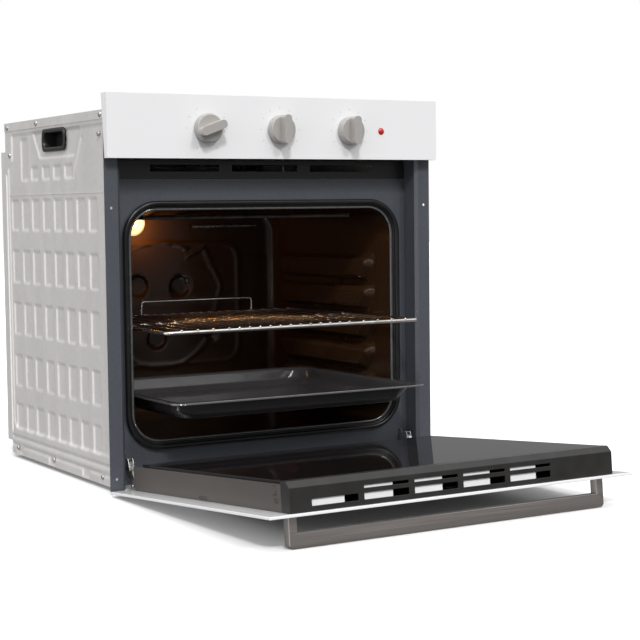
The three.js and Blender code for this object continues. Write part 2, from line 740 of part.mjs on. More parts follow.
const partitionPlate = () =>
  box(
    -INSIDE, INSIDE, PLATE_BACK + 1, BODY_DEPTH - CASING_SHEET - FIT, PARTITION_Z,
    PARTITION_Z + CASING_SHEET,
  );

function airDuct() {
  const t = CASING_SHEET;
  const foot = PARTITION_Z + t + FIT;
  const wide = DUCT_HALF;
  const shape = outline([
    [-wide, DUCT.z1],
    [wide, DUCT.z1],
    [wide, foot],
    [wide - t, foot],
    [wide - t, DUCT.z0],
    [-wide + t, DUCT.z0],
    [-wide + t, foot],
    [-wide, foot],
  ]);
  const channel = outline([
    [-wide + t, DUCT.z0 + t],
    [wide - t, DUCT.z0 + t],
    [wide - t, DUCT.z1 - t],
    [-wide + t, DUCT.z1 - t],
  ]);
  shape.holes.push(channel);
  return uprightPlate(shape, PLATE_BACK + 2, DUCT.back);
}

function fanHousing() {
  const t = CASING_SHEET;
  const r = FAN_RADIUS + 4;
  const half = FAN_LENGTH / 2 + 5;
  const scroll = new THREE.Shape();
  scroll.moveTo(DUCT.back + 2, FAN.z - r - t);
  scroll.lineTo(FAN.y, FAN.z - r - t);
  scroll.absarc(FAN.y, FAN.z, r + t, -Math.PI / 2, Math.PI / 2);
  scroll.lineTo(FAN.y, FAN.z + r);
  scroll.absarc(FAN.y, FAN.z, r, Math.PI / 2, -Math.PI / 2, true);
  scroll.lineTo(DUCT.back + 2, FAN.z - r);
  const shell = sidePlate(scroll, FAN.x - half, FAN.x + half, 8);
  const cheek = new THREE.Shape();
  cheek.absarc(FAN.y, FAN.z, r + t, 0, 2 * Math.PI);
  cheek.holes.push(new THREE.Path().absarc(FAN.y, FAN.z, 10, 0, 2 * Math.PI));
  const cheeks = [FAN.x - half, FAN.x + half - t].map((x) => sidePlate(cheek, x, x + t, 8));
  const footTop = FAN.z - r;
  const feet = [-1, 1].map((side) => {
    const x = FAN.x + side * (half - 15);
    return box(x - 6, x + 6, FAN.y - 10, FAN.y + 10, PARTITION_Z + t + FIT, footTop - t / 2);
  });
  return join(shell, ...cheeks, ...feet);
}

const FAN_AXLE_RADIUS = 3;
const MOTOR = { length: 40, radius: 25 };

function fanImpeller() {
  const half = FAN_LENGTH / 2;
  const discs = [-half, 0, half - 2].map((dx) =>
    barX(FAN.x + dx, FAN.x + dx + 2, FAN.y, FAN.z, FAN_RADIUS, 24),
  );
  const axle = barX(FAN.x - half - 9, FAN.x + half + 20, FAN.y, FAN.z, FAN_AXLE_RADIUS, 10);
  const blades = [];
  for (let n = 0; n < FAN_BLADES; n++) {
    const angle = (2 * Math.PI * n) / FAN_BLADES;
    const blade = new THREE.BoxGeometry(FAN_LENGTH - 1, 8, 1)
      .translate(0, FAN_RADIUS - 5.5, 0)
      .rotateX(angle)
      .translate(FAN.x, FAN.y, FAN.z);
    blades.push(blade);
  }
  return join(discs[0], ...discs.slice(1), axle, ...blades);
}

function fanMotor() {
  const x0 = FAN.x + FAN_LENGTH / 2 + 8;
  const can = barX(x0, x0 + MOTOR.length, FAN.y, FAN.z, MOTOR.radius, 20);
  const foot = box(
    x0 + 8, x0 + 30, FAN.y - 12, FAN.y + 12, PARTITION_Z + CASING_SHEET + FIT, FAN.z - MOTOR.radius + 4,
  );
  return cut(join(can, foot), barX(x0 - 1, x0 + 16, FAN.y, FAN.z, FAN_AXLE_RADIUS + FIT, 12));
}

// ---------------------------------------------------------------- hinges on the body
const ARM_ROOT = { y1: 72, z0: 26, z1: 44 };
const ARM_NECK = { y: 26, throatY: 8, throatZ: 14, shoulderY: 18, noseY: 4, noseDrop: 6 };
const CLIP = { y: 8, z: 30, sheet: 1, gap: 0.4, pin: 1.5, ear: 4, bridgeY0: 10, bridgeY1: 18, lift: 0.5 };

function hingeReceiver(side) {
  const x = side * HINGE_X;
  const shell = box(x - 7, x + 7, CAVITY_FRONT, ARM_ROOT.y1 + 6, HINGE_SLOT.z0 - 4, HINGE_SLOT.z1 + 4);
  const { z0, z1, half } = HINGE_SLOT;
  return cut(shell, box(x - half, x + half, CAVITY_FRONT - 5, ARM_ROOT.y1 + 4, z0, z1));
}

function hingeArm(side) {
  const x = side * HINGE_X;
  const half = ARM_THICKNESS / 2;
  const shape = new THREE.Shape();
  shape.moveTo(ARM_ROOT.y1, ARM_ROOT.z0);
  shape.lineTo(ARM_ROOT.y1, ARM_ROOT.z1);
  shape.lineTo(ARM_NECK.shoulderY, ARM_ROOT.z1);
  shape.lineTo(ARM_NECK.noseY, ARM_ROOT.z1 - ARM_NECK.noseDrop);
  shape.absarc(PIVOT_Y, PIVOT_Z, ARM_END_RADIUS, 0.8 * Math.PI, 1.8 * Math.PI);
  shape.lineTo(ARM_NECK.throatY, ARM_NECK.throatZ);
  shape.lineTo(ARM_NECK.y, ARM_ROOT.z0);
  const plate = sidePlate(shape, x - half, x + half, 8);
  const pin = barX(x - CASE_WIDTH / 2 - 1, x + CASE_WIDTH / 2 + 1, PIVOT_Y, PIVOT_Z, PIN_RADIUS, 16);
  const clipHole = barX(x - 9, x + 9, CLIP.y, CLIP.z, CLIP.pin + FIT, 12);
  return cut(join(plate, pin), clipHole);
}

// The spring clip that locks the arm when it is flipped forward: a bridge over the arm on two ears.
function hingeClip(side) {
  const x = side * HINGE_X;
  const inner = ARM_THICKNESS / 2 + CLIP.gap;
  const outer = inner + CLIP.sheet;
  const { bridgeY0, bridgeY1 } = CLIP;
  const bridgeZ = ARM_ROOT.z1 + CLIP.lift;
  const ear = new THREE.Shape();
  ear.absarc(CLIP.y, CLIP.z, CLIP.ear, Math.PI, 2 * Math.PI);
  ear.lineTo(bridgeY1, bridgeZ);
  ear.lineTo(bridgeY1, bridgeZ + CLIP.sheet);
  ear.lineTo(bridgeY0, bridgeZ + CLIP.sheet);
  const ears = [-outer, inner].map((dx) => sidePlate(ear, x + dx, x + dx + CLIP.sheet, 6));
  const bridge = box(x - outer, x + outer, bridgeY0, bridgeY1, bridgeZ, bridgeZ + CLIP.sheet);
  const pin = barX(x - outer, x + outer, CLIP.y, CLIP.z, CLIP.pin, 12);
  return join(...ears, bridge, pin);
}

// ---------------------------------------------------------------- door, as it stands when closed
const GLASS_BACK = FRONT_Y + GLASS;
const DOOR_BACK = GLASS_BACK + FIT; // where the door's inner frame starts
const DOOR_HALF = HALF_FRONT - DOOR_SIDE_INSET;
const TRIM_TOP = DOOR_TOP - DOOR_TOP_INSET;
const TRIM_BOTTOM = TRIM_TOP - TRIM_HEIGHT;
const INNER_GLASS_FRONT = DOOR_INNER_FACE - GLASS;
const CHANNEL_BOTTOM = 18;
const RAIL_HALF = HINGE_X - CASE_WIDTH / 2 - FIT;

const outerGlass = () => box(-HALF_FRONT, HALF_FRONT, FRONT_Y, GLASS_BACK, FRONT_BOTTOM, DOOR_TOP);
const innerGlass = () =>
  box(
    -DOOR_HALF + 2.5, DOOR_HALF - 2.5, INNER_GLASS_FRONT, DOOR_INNER_FACE, INNER_GLASS_BOTTOM,
    TRIM_BOTTOM - FIT,
  );

function doorChannel(side) {
  const t = FRAME_SHEET;
  const back = INNER_GLASS_FRONT - FIT;
  const web = sideBox(side, DOOR_HALF - t, DOOR_HALF, DOOR_BACK, back, CHANNEL_BOTTOM, TRIM_BOTTOM - FIT);
  const rest = sideBox(
    side, DOOR_HALF - 11, DOOR_HALF - t / 2, back - t, back, INNER_GLASS_BOTTOM, TRIM_BOTTOM - FIT,
  );
  const lip = sideBox(
    side, RAIL_HALF + FIT, DOOR_HALF - t / 2, DOOR_BACK, DOOR_BACK + t, CHANNEL_BOTTOM, TRIM_BOTTOM - FIT,
  );
  return join(web, rest, lip);
}

const TRIM_SLOT = { count: 6, width: 70, pitch: 79, y0: -9, y1: 0, second0: 6, second1: 10 };

function doorTopTrim() {
  const w = TRIM_WALL;
  const bevel = 8;
  const profile = (inset) =>
    outline([
      [DOOR_BACK + inset, TRIM_BOTTOM - (inset ? 5 : 0)],
      [DOOR_INNER_FACE - inset, TRIM_BOTTOM - (inset ? 5 : 0)],
      [DOOR_INNER_FACE - inset, TRIM_TOP - bevel - inset * 0.4],
      [DOOR_INNER_FACE - bevel - inset * 0.4, TRIM_TOP - inset],
      [DOOR_BACK + inset, TRIM_TOP - inset],
    ]);
  const cap = sidePlate(profile(0), -DOOR_HALF, DOOR_HALF);
  const room = sidePlate(profile(w), -DOOR_HALF + w, DOOR_HALF - w);
  const slots = [];
  for (let n = 0; n < TRIM_SLOT.count; n++) {
    const x = (n - (TRIM_SLOT.count - 1) / 2) * TRIM_SLOT.pitch;
    const half = TRIM_SLOT.width / 2;
    if (n < TRIM_SLOT.count - 1)
      slots.push(box(x - half, x + half, TRIM_SLOT.y0, TRIM_SLOT.y1, TRIM_TOP - w - 1, TRIM_TOP + 1));
    if (n > 0 && n < TRIM_SLOT.count - 1)
      slots.push(
        box(x - half, x + half, TRIM_SLOT.second0, TRIM_SLOT.second1, TRIM_TOP - w - 1, TRIM_TOP + 1),
      );
  }
  return cut(cap, room, ...slots);
}

function doorBottomRail() {
  const t = FRAME_SHEET;
  const y1 = INNER_GLASS_FRONT + 1;
  const z1 = INNER_GLASS_BOTTOM - FIT;
  const profile = outline([
    [DOOR_BACK, CHANNEL_BOTTOM],
    [y1, CHANNEL_BOTTOM],
    [y1, z1],
    [y1 - t, z1],
    [y1 - t, CHANNEL_BOTTOM + t],
    [DOOR_BACK + t, CHANNEL_BOTTOM + t],
    [DOOR_BACK + t, z1],
    [DOOR_BACK, z1],
  ]);
  return sidePlate(profile, -RAIL_HALF, RAIL_HALF);
}

const HINGE_CASE = { back: 17, ear: 5, backFrom: 30, webFrom: 24, endDrop: 20, endStep: 12 };

function hingeCase(side) {
  const x = side * HINGE_X;
  const half = CASE_WIDTH / 2;
  const y0 = DOOR_BACK + FRAME_SHEET + FIT;
  const { back, ear, backFrom, webFrom, endDrop, endStep } = HINGE_CASE;
  const top = PIVOT_Z + CASE_LENGTH;
  const cheek = new THREE.Shape();
  cheek.absarc(PIVOT_Y, PIVOT_Z, ear, 0.9 * Math.PI, 1.8 * Math.PI);
  cheek.lineTo(back, backFrom);
  cheek.lineTo(back, top - endDrop);
  cheek.lineTo(back - endStep, top);
  cheek.lineTo(y0, top);
  cheek.lineTo(y0, webFrom);
  const cheeks = [-half, half - CASE_SHEET].map((dx) => sidePlate(cheek, x + dx, x + dx + CASE_SHEET, 8));
  const web = box(x - half, x + half, y0, y0 + CASE_SHEET, webFrom, top);
  const pinHole = barX(x - 20, x + 20, PIVOT_Y, PIVOT_Z, PIN_RADIUS + PIN_CLEARANCE, 16);
  return cut(join(...cheeks, web), pinHole);
}

const BAR_Z = DOOR_TOP - HANDLE_DROP;
const BAR_FRONT = FRONT_Y - HANDLE_STANDOFF - HANDLE_DEPTH;
const BAR_HALF = HALF_FRONT - HANDLE_INSET;

function handleBar() {
  const half = HANDLE_HEIGHT / 2;
  const section = rounded(
    new THREE.Shape(), BAR_FRONT, BAR_FRONT + HANDLE_DEPTH, BAR_Z - half, BAR_Z + half, 2.5,
  );
  return sidePlate(section, -BAR_HALF, BAR_HALF, 3);
}

function handlePost(side) {
  const half = HANDLE_HEIGHT / 2;
  return sideBox(
    side, BAR_HALF - HANDLE_POST, BAR_HALF, BAR_FRONT + HANDLE_DEPTH + FIT, FRONT_Y - FIT,
    BAR_Z - half, BAR_Z + half,
  );
}

// ---------------------------------------------------------------- shelf and tray
const RACK_BACK = CAVITY_BACK - STORED_BACK_SPACE - RACK_PULL;
const TRAY_BACK = CAVITY_BACK - STORED_BACK_SPACE - TRAY_PULL;

const RACK_STOP = { x0: -91, x1: 127, height: 22 }; // a low wire that keeps dishes off the back wall
const RACK_SHIFT = 14; // the wire pattern starts this far left of centre
const STOP_RADIUS = 2;

function shelfRack() {
  const z = levelZ(RACK_LEVEL) + FIT + RAIL_RADIUS;
  const front = STORED_FRONT - RACK_PULL;
  const side = RUNNER_HALF - RAIL_RADIUS;
  const rails = [
    barY(front, RACK_BACK, -side, z, RAIL_RADIUS),
    barY(front, RACK_BACK, side, z, RAIL_RADIUS),
    barX(-RUNNER_HALF, RUNNER_HALF, front, z, RAIL_RADIUS),
    barX(-RUNNER_HALF, RUNNER_HALF, RACK_BACK, z, RAIL_RADIUS),
    barX(-side, side, (front + RACK_BACK) / 2, z, STOP_RADIUS),
  ];
  const wireZ = z + RAIL_RADIUS;
  const wide = Array(WIDE_GAPS).fill(WIDE_PITCH);
  const pitches = [...wide, ...Array(NARROW_GAPS).fill(NARROW_PITCH), ...wide];
  const span = pitches.reduce((sum, pitch) => sum + pitch, 0);
  const wires = [];
  let x = -span / 2 - RACK_SHIFT;
  for (const pitch of pitches) {
    x += pitch;
    if (x < side - WIDE_PITCH / 2) wires.push(barY(front, RACK_BACK, x, wireZ, WIRE_RADIUS, 6));
  }
  const stopTop = wireZ + RACK_STOP.height;
  const { x0, x1 } = RACK_STOP;
  const posts = [x0, x1].map((at) => bar([at, RACK_BACK, z], [at, RACK_BACK, stopTop], STOP_RADIUS, 6));
  const stop = barX(x0 - WIRE_RADIUS, x1 + WIRE_RADIUS, RACK_BACK, stopTop, STOP_RADIUS, 6);
  return join(...rails, ...wires, ...posts, stop);
}

function bakingTray() {
  const z = levelZ(TRAY_LEVEL) + FIT;
  const front = STORED_FRONT - TRAY_PULL - TRAY_OVERHANG;
  const half = RUNNER_HALF - TRAY_PLAY;
  const t = TRAY_SHEET;
  const rim = levelPlate(
    rounded(new THREE.Shape(), -half, half, front, TRAY_BACK, TRAY_CORNER), z, z + TRAY_RIM_SHEET, 5,
  );
  const pan = (inset, low, high) => {
    const grow = TRAY_RIM + inset;
    return taperedPan(half - grow, front + grow, TRAY_BACK - grow, low, high, TRAY_SLOPE);
  };
  const bottom = z - TRAY_DEPTH;
  return cut(join(rim, pan(0, bottom, z + TRAY_RIM_SHEET / 2)), pan(t, bottom + t, z + 2 * TRAY_RIM_SHEET));
}

// A frustum with a rectangular plan: full size at the top, narrower by slope at the bottom.
function taperedPan(half, y0, y1, low, high, slope) {
  const corners = [];
  const ring = (inset, z) =>
    corners.push(
      [-half + inset, y0 + inset, z],
      [half - inset, y0 + inset, z],
      [half - inset, y1 - inset, z],
      [-half + inset, y1 - inset, z],
    );
  ring(slope, low);
  ring(0, high);
  const faces = [
    [0, 2, 1], [0, 3, 2], [4, 5, 6], [4, 6, 7],
    [0, 1, 5], [0, 5, 4], [1, 2, 6], [1, 6, 5],
    [2, 3, 7], [2, 7, 6], [3, 0, 4], [3, 4, 7],
  ];
  const geometry = new THREE.BufferGeometry();
  const positions = new Float32Array(faces.flat().flatMap((n) => corners[n]));
  geometry.setAttribute("position", new THREE.BufferAttribute(positions, 3));
  return geometry;
}

// ---------------------------------------------------------------- assembly
const F = FINISHES;
for (const [name, side] of SIDES) {
  add("side_panel_" + name, sidePanel(side), F.galvanised);
  add("carry_grip_" + name, carryGrip(side), F.blackPlastic);
  add("front_column_" + name, column(side), F.frameEnamel);
  add("cavity_wall_" + name, cavityWall(side), F.cavityEnamel);
  add("hinge_receiver_" + name, hingeReceiver(side), F.galvanised);
  add("hinge_arm_" + name, hingeArm(side), F.steel);
  add("hinge_clip_" + name, hingeClip(side), F.steel);
  add("door_channel_" + name, doorChannel(side), F.satinGrey, doorPieces);
  add("hinge_case_" + name, hingeCase(side), F.steel, doorPieces);
  add("handle_post_" + name, handlePost(side), F.handle, doorPieces);
}
add("top_cover", topCover(), F.galvanised);
add("base_panel", basePanel(), F.galvanised);
add("rear_panel", rearPanel(), F.galvanised);
add("rear_cover", rearCover(), F.galvanised);
add("terminal_block", terminalBlock(), F.ceramic);
add("terminal_cover", terminalCover(), F.blackPlastic);
add("face_plate", facePlate(), F.frameEnamel);
add("air_outlet_grille", airOutlet(), F.blackPlastic);
add("door_gasket", doorGasket(), F.rubber);
add("cavity_floor", cavityFloor(), F.cavityEnamel);
add("cavity_roof", cavityRoof(), F.cavityEnamel);
add("cavity_back", cavityBack(), F.cavityEnamel);
add("insulation_blanket", insulation(), F.wool);
add("upper_element", heatingElement(TOP_ELEMENT_Z, GUIDE_START + 15), F.steel);
add("lower_element", heatingElement(LOW_ELEMENT_Z, GUIDE_START + 45), F.steel);
add("lamp_holder", lampHolder(), F.ceramic);
add("lamp_lens", lampLens(), F.lampGlass);
add("lamp_bulb", lampBulb(), F.lampGlass);
add("thermostat_probe", thermostatProbe(), F.steel);
add("partition_plate", partitionPlate(), F.galvanised);
add("air_duct", airDuct(), F.galvanised);
add("fan_housing", fanHousing(), F.galvanised);
add("fan_impeller", fanImpeller(), F.galvanised);
add("fan_motor", fanMotor(), F.steel);
add("control_fascia", controlFascia(), F.whiteEnamel);
add("switch_bracket", switchBracket(), F.galvanised);
add("selector_switch", selectorSwitch(), F.ceramic);
add("timer_unit", timerUnit(), F.blackPlastic);
add("thermostat_body", thermostatBody(), F.steel);
add("pilot_lamp", pilotLamp(), F.redLens);
const knobs = [
  ["selector_knob", selectorShape()],
  ["timer_knob", knobShape()],
  ["thermostat_knob", knobShape()],
];
knobs.forEach(([name, geometry], n) => {
  add(name, geometry, F.satinGrey).position.set(KNOB_X[n], FRONT_Y, KNOB_Z);
});
oven.getObjectByName("selector_knob").rotation.y = THREE.MathUtils.degToRad(SELECTOR_REST_DEG);
add("outer_glass", outerGlass(), F.whiteGlass, doorPieces);
add("inner_glass", innerGlass(), F.darkGlass, doorPieces);
add("door_top_trim", doorTopTrim(), F.blackPlastic, doorPieces);
add("door_bottom_rail", doorBottomRail(), F.blackPlastic, doorPieces);
add("handle_bar", handleBar(), F.handle, doorPieces);
add("shelf_rack", shelfRack(), F.chrome);
add("baking_tray", bakingTray(), F.cavityEnamel);

export default oven;
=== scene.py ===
import json
import math
from contextlib import contextmanager

import bmesh
import bpy
from mathutils import Matrix, Vector


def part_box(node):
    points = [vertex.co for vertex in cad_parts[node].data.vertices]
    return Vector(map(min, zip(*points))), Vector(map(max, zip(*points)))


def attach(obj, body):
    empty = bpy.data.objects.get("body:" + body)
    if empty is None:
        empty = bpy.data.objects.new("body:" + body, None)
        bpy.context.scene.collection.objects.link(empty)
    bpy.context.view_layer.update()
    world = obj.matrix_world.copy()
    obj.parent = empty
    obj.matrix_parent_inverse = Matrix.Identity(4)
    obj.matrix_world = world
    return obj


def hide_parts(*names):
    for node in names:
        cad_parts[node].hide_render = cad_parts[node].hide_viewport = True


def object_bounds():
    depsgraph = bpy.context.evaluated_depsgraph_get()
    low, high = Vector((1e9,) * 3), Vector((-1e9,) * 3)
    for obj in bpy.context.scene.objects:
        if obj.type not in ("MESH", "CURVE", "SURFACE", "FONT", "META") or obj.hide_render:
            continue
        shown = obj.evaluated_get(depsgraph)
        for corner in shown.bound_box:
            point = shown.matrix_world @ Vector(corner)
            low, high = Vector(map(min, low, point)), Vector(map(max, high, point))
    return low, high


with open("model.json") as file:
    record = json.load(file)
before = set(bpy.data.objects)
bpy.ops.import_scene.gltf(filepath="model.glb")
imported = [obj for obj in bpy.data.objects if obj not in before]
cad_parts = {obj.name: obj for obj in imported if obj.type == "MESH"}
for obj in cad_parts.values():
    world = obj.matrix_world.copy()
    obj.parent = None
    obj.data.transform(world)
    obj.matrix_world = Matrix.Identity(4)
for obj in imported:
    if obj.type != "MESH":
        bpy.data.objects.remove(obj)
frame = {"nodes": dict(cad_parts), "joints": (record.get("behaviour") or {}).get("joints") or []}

bl_info = {
    "name": "Built-in Oven",
    "version": (1, 0, 0),
    "blender": (4, 5, 0),
    "location": "3D View > Sidebar > Oven",
    "description": "Dresses the frame of a built-in wall oven with its pressed, enamelled and glass pieces",
    "category": "Add Mesh",
}

CAD_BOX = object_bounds()
MM = 0.001
X, Y, Z = 0, 1, 2
SIDES = (("left", -1), ("right", 1))
# Edges that turn by more than this are rounded, in degrees.
EDGE_ANGLE = 42
SHEET_WALL = 0.0008
# How far the tray's inner bottom lies above its underside.
SOLE = 0.0009

# The door's rest is let down; its pieces are drawn closed and turned about the hinge pin.
DOOR_JOINT = next(j for j in frame["joints"] if j["name"] == "door_swing")
DOOR_PIVOT = Vector(DOOR_JOINT["pos_m"])
DOOR_OPEN = math.radians(-DOOR_JOINT["range_deg"][0])
DOOR_TURN = (
    Matrix.Translation(DOOR_PIVOT)
    @ Matrix.Rotation(DOOR_OPEN, 4, "X")
    @ Matrix.Translation(-DOOR_PIVOT)
)


# ---------------------------------------------------------------- settings
def length(name, text, value):
    limits = {"min": 0.0, "max": 1.0, "precision": 4}
    return bpy.props.FloatProperty(name=name, description=text, default=value, unit="LENGTH", **limits)


def colour(name, text, value):
    limits = {"size": 3, "min": 0.0, "max": 1.0}
    return bpy.props.FloatVectorProperty(name=name, description=text, default=value, subtype="COLOR", **limits)


def strength(name, text, value, unit="NONE"):
    return bpy.props.FloatProperty(name=name, description=text, default=value, unit=unit)


class OvenSizes(bpy.types.PropertyGroup):
    """Sizes of the fine shapes that the frame leaves plain."""

    edge: length("Edge rounding", "Rounding of a sheet piece's edges", 0.0003)
    moulded_edge: length("Moulded edge", "Rounding of a moulded piece's edges", 0.0009)
    panel_step: length("Panel step", "Spacing of points on a pressed side panel", 0.0025)
    field_depth: length("Field depth", "How deep the side panel's large field is pressed", 0.0018)
    pad_depth: length("Pad depth", "How deep each pad on the side panel is pressed", 0.0026)
    pad_slope: length("Pad slope", "Width of a pressed pad's sloping edge", 0.0045)
    guide_depth: length("Guide depth", "How far a shelf guide stands out of the cavity wall", 0.0165)
    guide_slope: length("Guide slope", "Width of a shelf guide's rounded edge", 0.0065)
    back_cove: length("Back cove", "Radius where the cavity's walls run into its back", 0.024)
    roof_cove: length("Roof cove", "Height of the cove at the cavity's roof and floor", 0.012)
    bead: length("Gasket bead", "Radius of the door gasket's bead", 0.0043)
    lip: length("Opening lip", "Radius of the rolled lip round the cavity's opening", 0.0022)
    rail: length("Shelf rail", "Radius of the shelf's rails", 0.003)
    wire: length("Shelf wire", "Radius of the shelf's wires", 0.0015)
    screw: length("Screw head", "Radius of a casing screw's head", 0.0042)
    tick: length("Dial tick", "Length of a printed mark round a knob", 0.0032)


class OvenFinishes(bpy.types.PropertyGroup):
    """Colours of the oven's finishes."""

    zinc: colour("Zinc", "Zinc-coated casing sheet", (0.75, 0.73, 0.72))
    frame_enamel: colour("Frame enamel", "Blue-grey enamel of the front frame", (0.066, 0.072, 0.086))
    dark_enamel: colour("Dark enamel", "Black parts of the frame and door", (0.008, 0.008, 0.009))
    cavity: colour("Cavity enamel", "Enamel inside the oven", (0.034, 0.016, 0.007))
    tray: colour("Tray enamel", "Enamel of the baking tray", (0.040, 0.038, 0.040))
    white: colour("White enamel", "Control fascia", (0.735, 0.735, 0.745))
    channel: colour("Channel paint", "Sides of the door frame", (0.085, 0.074, 0.068))
    knob: colour("Knob", "Satin grey of the knobs", (0.42, 0.405, 0.385))
    plastic: colour("Black plastic", "Grips, covers and trims", (0.020, 0.019, 0.0185))
    gasket: colour("Gasket", "Door seal", (0.014, 0.014, 0.015))
    handle: colour("Handle", "Brushed door handle", (0.47, 0.43, 0.405))
    lamp: colour("Lamp", "Light of the oven lamp", (1.0, 0.52, 0.18))


class OvenStage(bpy.types.PropertyGroup):
    """Light and floor."""

    floor_gap: length("Floor gap", "How far the floor lies under the lowest piece", 0.0006)
    sky: strength("Sky", "Strength of the even light", 0.40)
    key: strength("Key", "Strength of the key light", 0.8)
    overhead: strength("Overhead", "Strength of the light above", 0.5)
    side: strength("Side", "Strength of the light at the side", 1.6)
    lamp: strength("Lamp", "Power of the oven lamp", 0.45, "POWER")


# ---------------------------------------------------------------- node trees
def node(tree, kind, inputs=None, **settings):
    """Adds a node. An input is either another node's output, which is linked, or a value."""
    made = tree.nodes.new(kind)
    for name, value in settings.items():
        setattr(made, name, value)
    for name, value in (inputs or {}).items():
        if isinstance(value, bpy.types.NodeSocket):
            tree.links.new(value, made.inputs[name])
        else:
            made.inputs[name].default_value = value
    return made


def geometry_tree(name, inputs):
    """A geometry node tree with these inputs: its outputs by name, and where its result goes."""
    tree = bpy.data.node_groups.new(name, "GeometryNodeTree")
    tree.interface.new_socket("Geometry", in_out="INPUT", socket_type="NodeSocketGeometry")
    for label, kind, default in inputs + [("Material", "NodeSocketMaterial", None)]:
        socket = tree.interface.new_socket(label, in_out="INPUT", socket_type=kind)
        if default is not None:
            socket.default_value = default
    tree.interface.new_socket("Geometry", in_out="OUTPUT", socket_type="NodeSocketGeometry")
    return tree, tree.nodes.new("NodeGroupInput").outputs, tree.nodes.new("NodeGroupOutput").inputs[0]


def end_tree(tree, geometry, given, result):
    """Ends a tree with real geometry in the material that it is given."""
    real = node(tree, "GeometryNodeRealizeInstances", {"Geometry": geometry})
    inputs = {"Geometry": real.outputs[0], "Material": given["Material"]}
    painted = node(tree, "GeometryNodeSetMaterial", inputs)
    tree.links.new(painted.outputs[0], result)
    return tree


def press_tree():
    """Presses a sheet along a direction near the faces of a pattern object, with smooth slopes."""
    inputs = [
        ("Pattern", "NodeSocketObject", None),
        ("Slope", "NodeSocketFloat", 0.005),
        ("Push", "NodeSocketVector", (0.0, 0.0, 0.001)),
    ]
    tree, given, result = geometry_tree("Press", inputs)
    pattern = node(tree, "GeometryNodeObjectInfo", {"Object": given["Pattern"]})
    near = node(tree, "GeometryNodeProximity", {0: pattern.outputs["Geometry"]}, target_element="FACES")
    reach = {"Value": near.outputs["Distance"], "From Min": 0.0, "From Max": given["Slope"]}
    falling = {"To Min": 1.0, "To Max": 0.0}
    share = node(tree, "ShaderNodeMapRange", {**reach, **falling}, interpolation_type="SMOOTHSTEP")
    scale = {0: given["Push"], "Scale": share.outputs["Result"]}
    push = node(tree, "ShaderNodeVectorMath", scale, operation="SCALE")
    offset = {"Geometry": given["Geometry"], "Offset": push.outputs["Vector"]}
    moved = node(tree, "GeometryNodeSetPosition", offset)
    return end_tree(tree, moved.outputs[0], given, result)


def bead_tree():
    """A round bead, rod or wire along the edges of a mesh."""
    inputs = [("Radius", "NodeSocketFloat", 0.003), ("Sides", "NodeSocketInt", 12)]
    tree, given, result = geometry_tree("Bead", inputs)
    line = node(tree, "GeometryNodeMeshToCurve", {"Mesh": given["Geometry"]})
    circle = {"Resolution": given["Sides"], "Radius": given["Radius"]}
    ring = node(tree, "GeometryNodeCurvePrimitiveCircle", circle)
    sweep = {"Curve": line.outputs[0], "Profile Curve": ring.outputs[0], "Fill Caps": True}
    swept = node(tree, "GeometryNodeCurveToMesh", sweep)
    shaded = node(tree, "GeometryNodeSetShadeSmooth", {"Geometry": swept.outputs[0]})
    return end_tree(tree, shaded.outputs[0], given, result)


def scatter_tree():
    """Sets one small shape on every point of a mesh, its own up along the point's 'facing'."""
    tree, given, result = geometry_tree("Scatter", [("Shape", "NodeSocketObject", None)])
    shape = node(tree, "GeometryNodeObjectInfo", {"Object": given["Shape"]})
    facing = node(tree, "GeometryNodeInputNamedAttribute", {"Name": "facing"}, data_type="FLOAT_VECTOR")
    turn = node(tree, "FunctionNodeAlignRotationToVector", {"Vector": facing.outputs[0]}, axis="Z")
    spin = node(tree, "GeometryNodeInputNamedAttribute", {"Name": "spin"}, data_type="FLOAT")
    own_turn = node(tree, "FunctionNodeAxisAngleToRotation", {"Axis": (0, 0, 1), "Angle": spin.outputs[0]})
    turns = {"Rotation": turn.outputs[0], "Rotate By": own_turn.outputs[0]}
    both = node(tree, "FunctionNodeRotateRotation", turns, rotation_space="LOCAL")
    copies = {"Points": given["Geometry"], "Instance": shape.outputs["Geometry"], "Rotation": both.outputs[0]}
    set_down = node(tree, "GeometryNodeInstanceOnPoints", copies)
    return end_tree(tree, set_down.outputs[0], given, result)


TREE_MAKERS = {"Press": press_tree, "Bead": bead_tree, "Scatter": scatter_tree}
TREES = {}


def grow(piece, name, finish=None, **values):
    """Runs a tree on a piece and keeps the result as the piece's own plain mesh."""
    if name not in TREES:
        TREES[name] = TREE_MAKERS[name]()
    if finish is not None:
        values["Material"] = Finish.made[finish]
    modifier = piece.modifiers.new(name, "NODES")
    modifier.node_group = TREES[name]
    for item in TREES[name].interface.items_tree:
        if item.item_type == "SOCKET" and item.in_out == "INPUT" and item.name in values:
            modifier[item.identifier] = values[item.name]
    settle(piece)


def settle(piece):
    """Turns a piece with its modifiers into a plain mesh."""
    depsgraph = bpy.context.evaluated_depsgraph_get()
    mesh = bpy.data.meshes.new_from_object(piece.evaluated_get(depsgraph), depsgraph=depsgraph)
    piece.modifiers.clear()
    piece.data = mesh


# ---------------------------------------------------------------- mesh tools
def placed(name, data):
    """An object of this data, linked to the scene."""
    made = bpy.data.objects.new(name, data)
    bpy.context.scene.collection.objects.link(made)
    return made


def mesh_piece(name, points, faces, edges=()):
    mesh = bpy.data.meshes.new(name)
    mesh.from_pydata([tuple(p) for p in points], list(edges), list(faces))
    mesh.update()
    return placed(name, mesh)


def drop(*helpers):
    for helper in helpers:
        bpy.data.objects.remove(helper)


def smooth(piece, degrees):
    """Smooth shading, with a crease where faces meet at more than an angle."""
    piece.data.shade_smooth()
    piece.data.set_sharp_from_angle(angle=math.radians(degrees))
    return piece


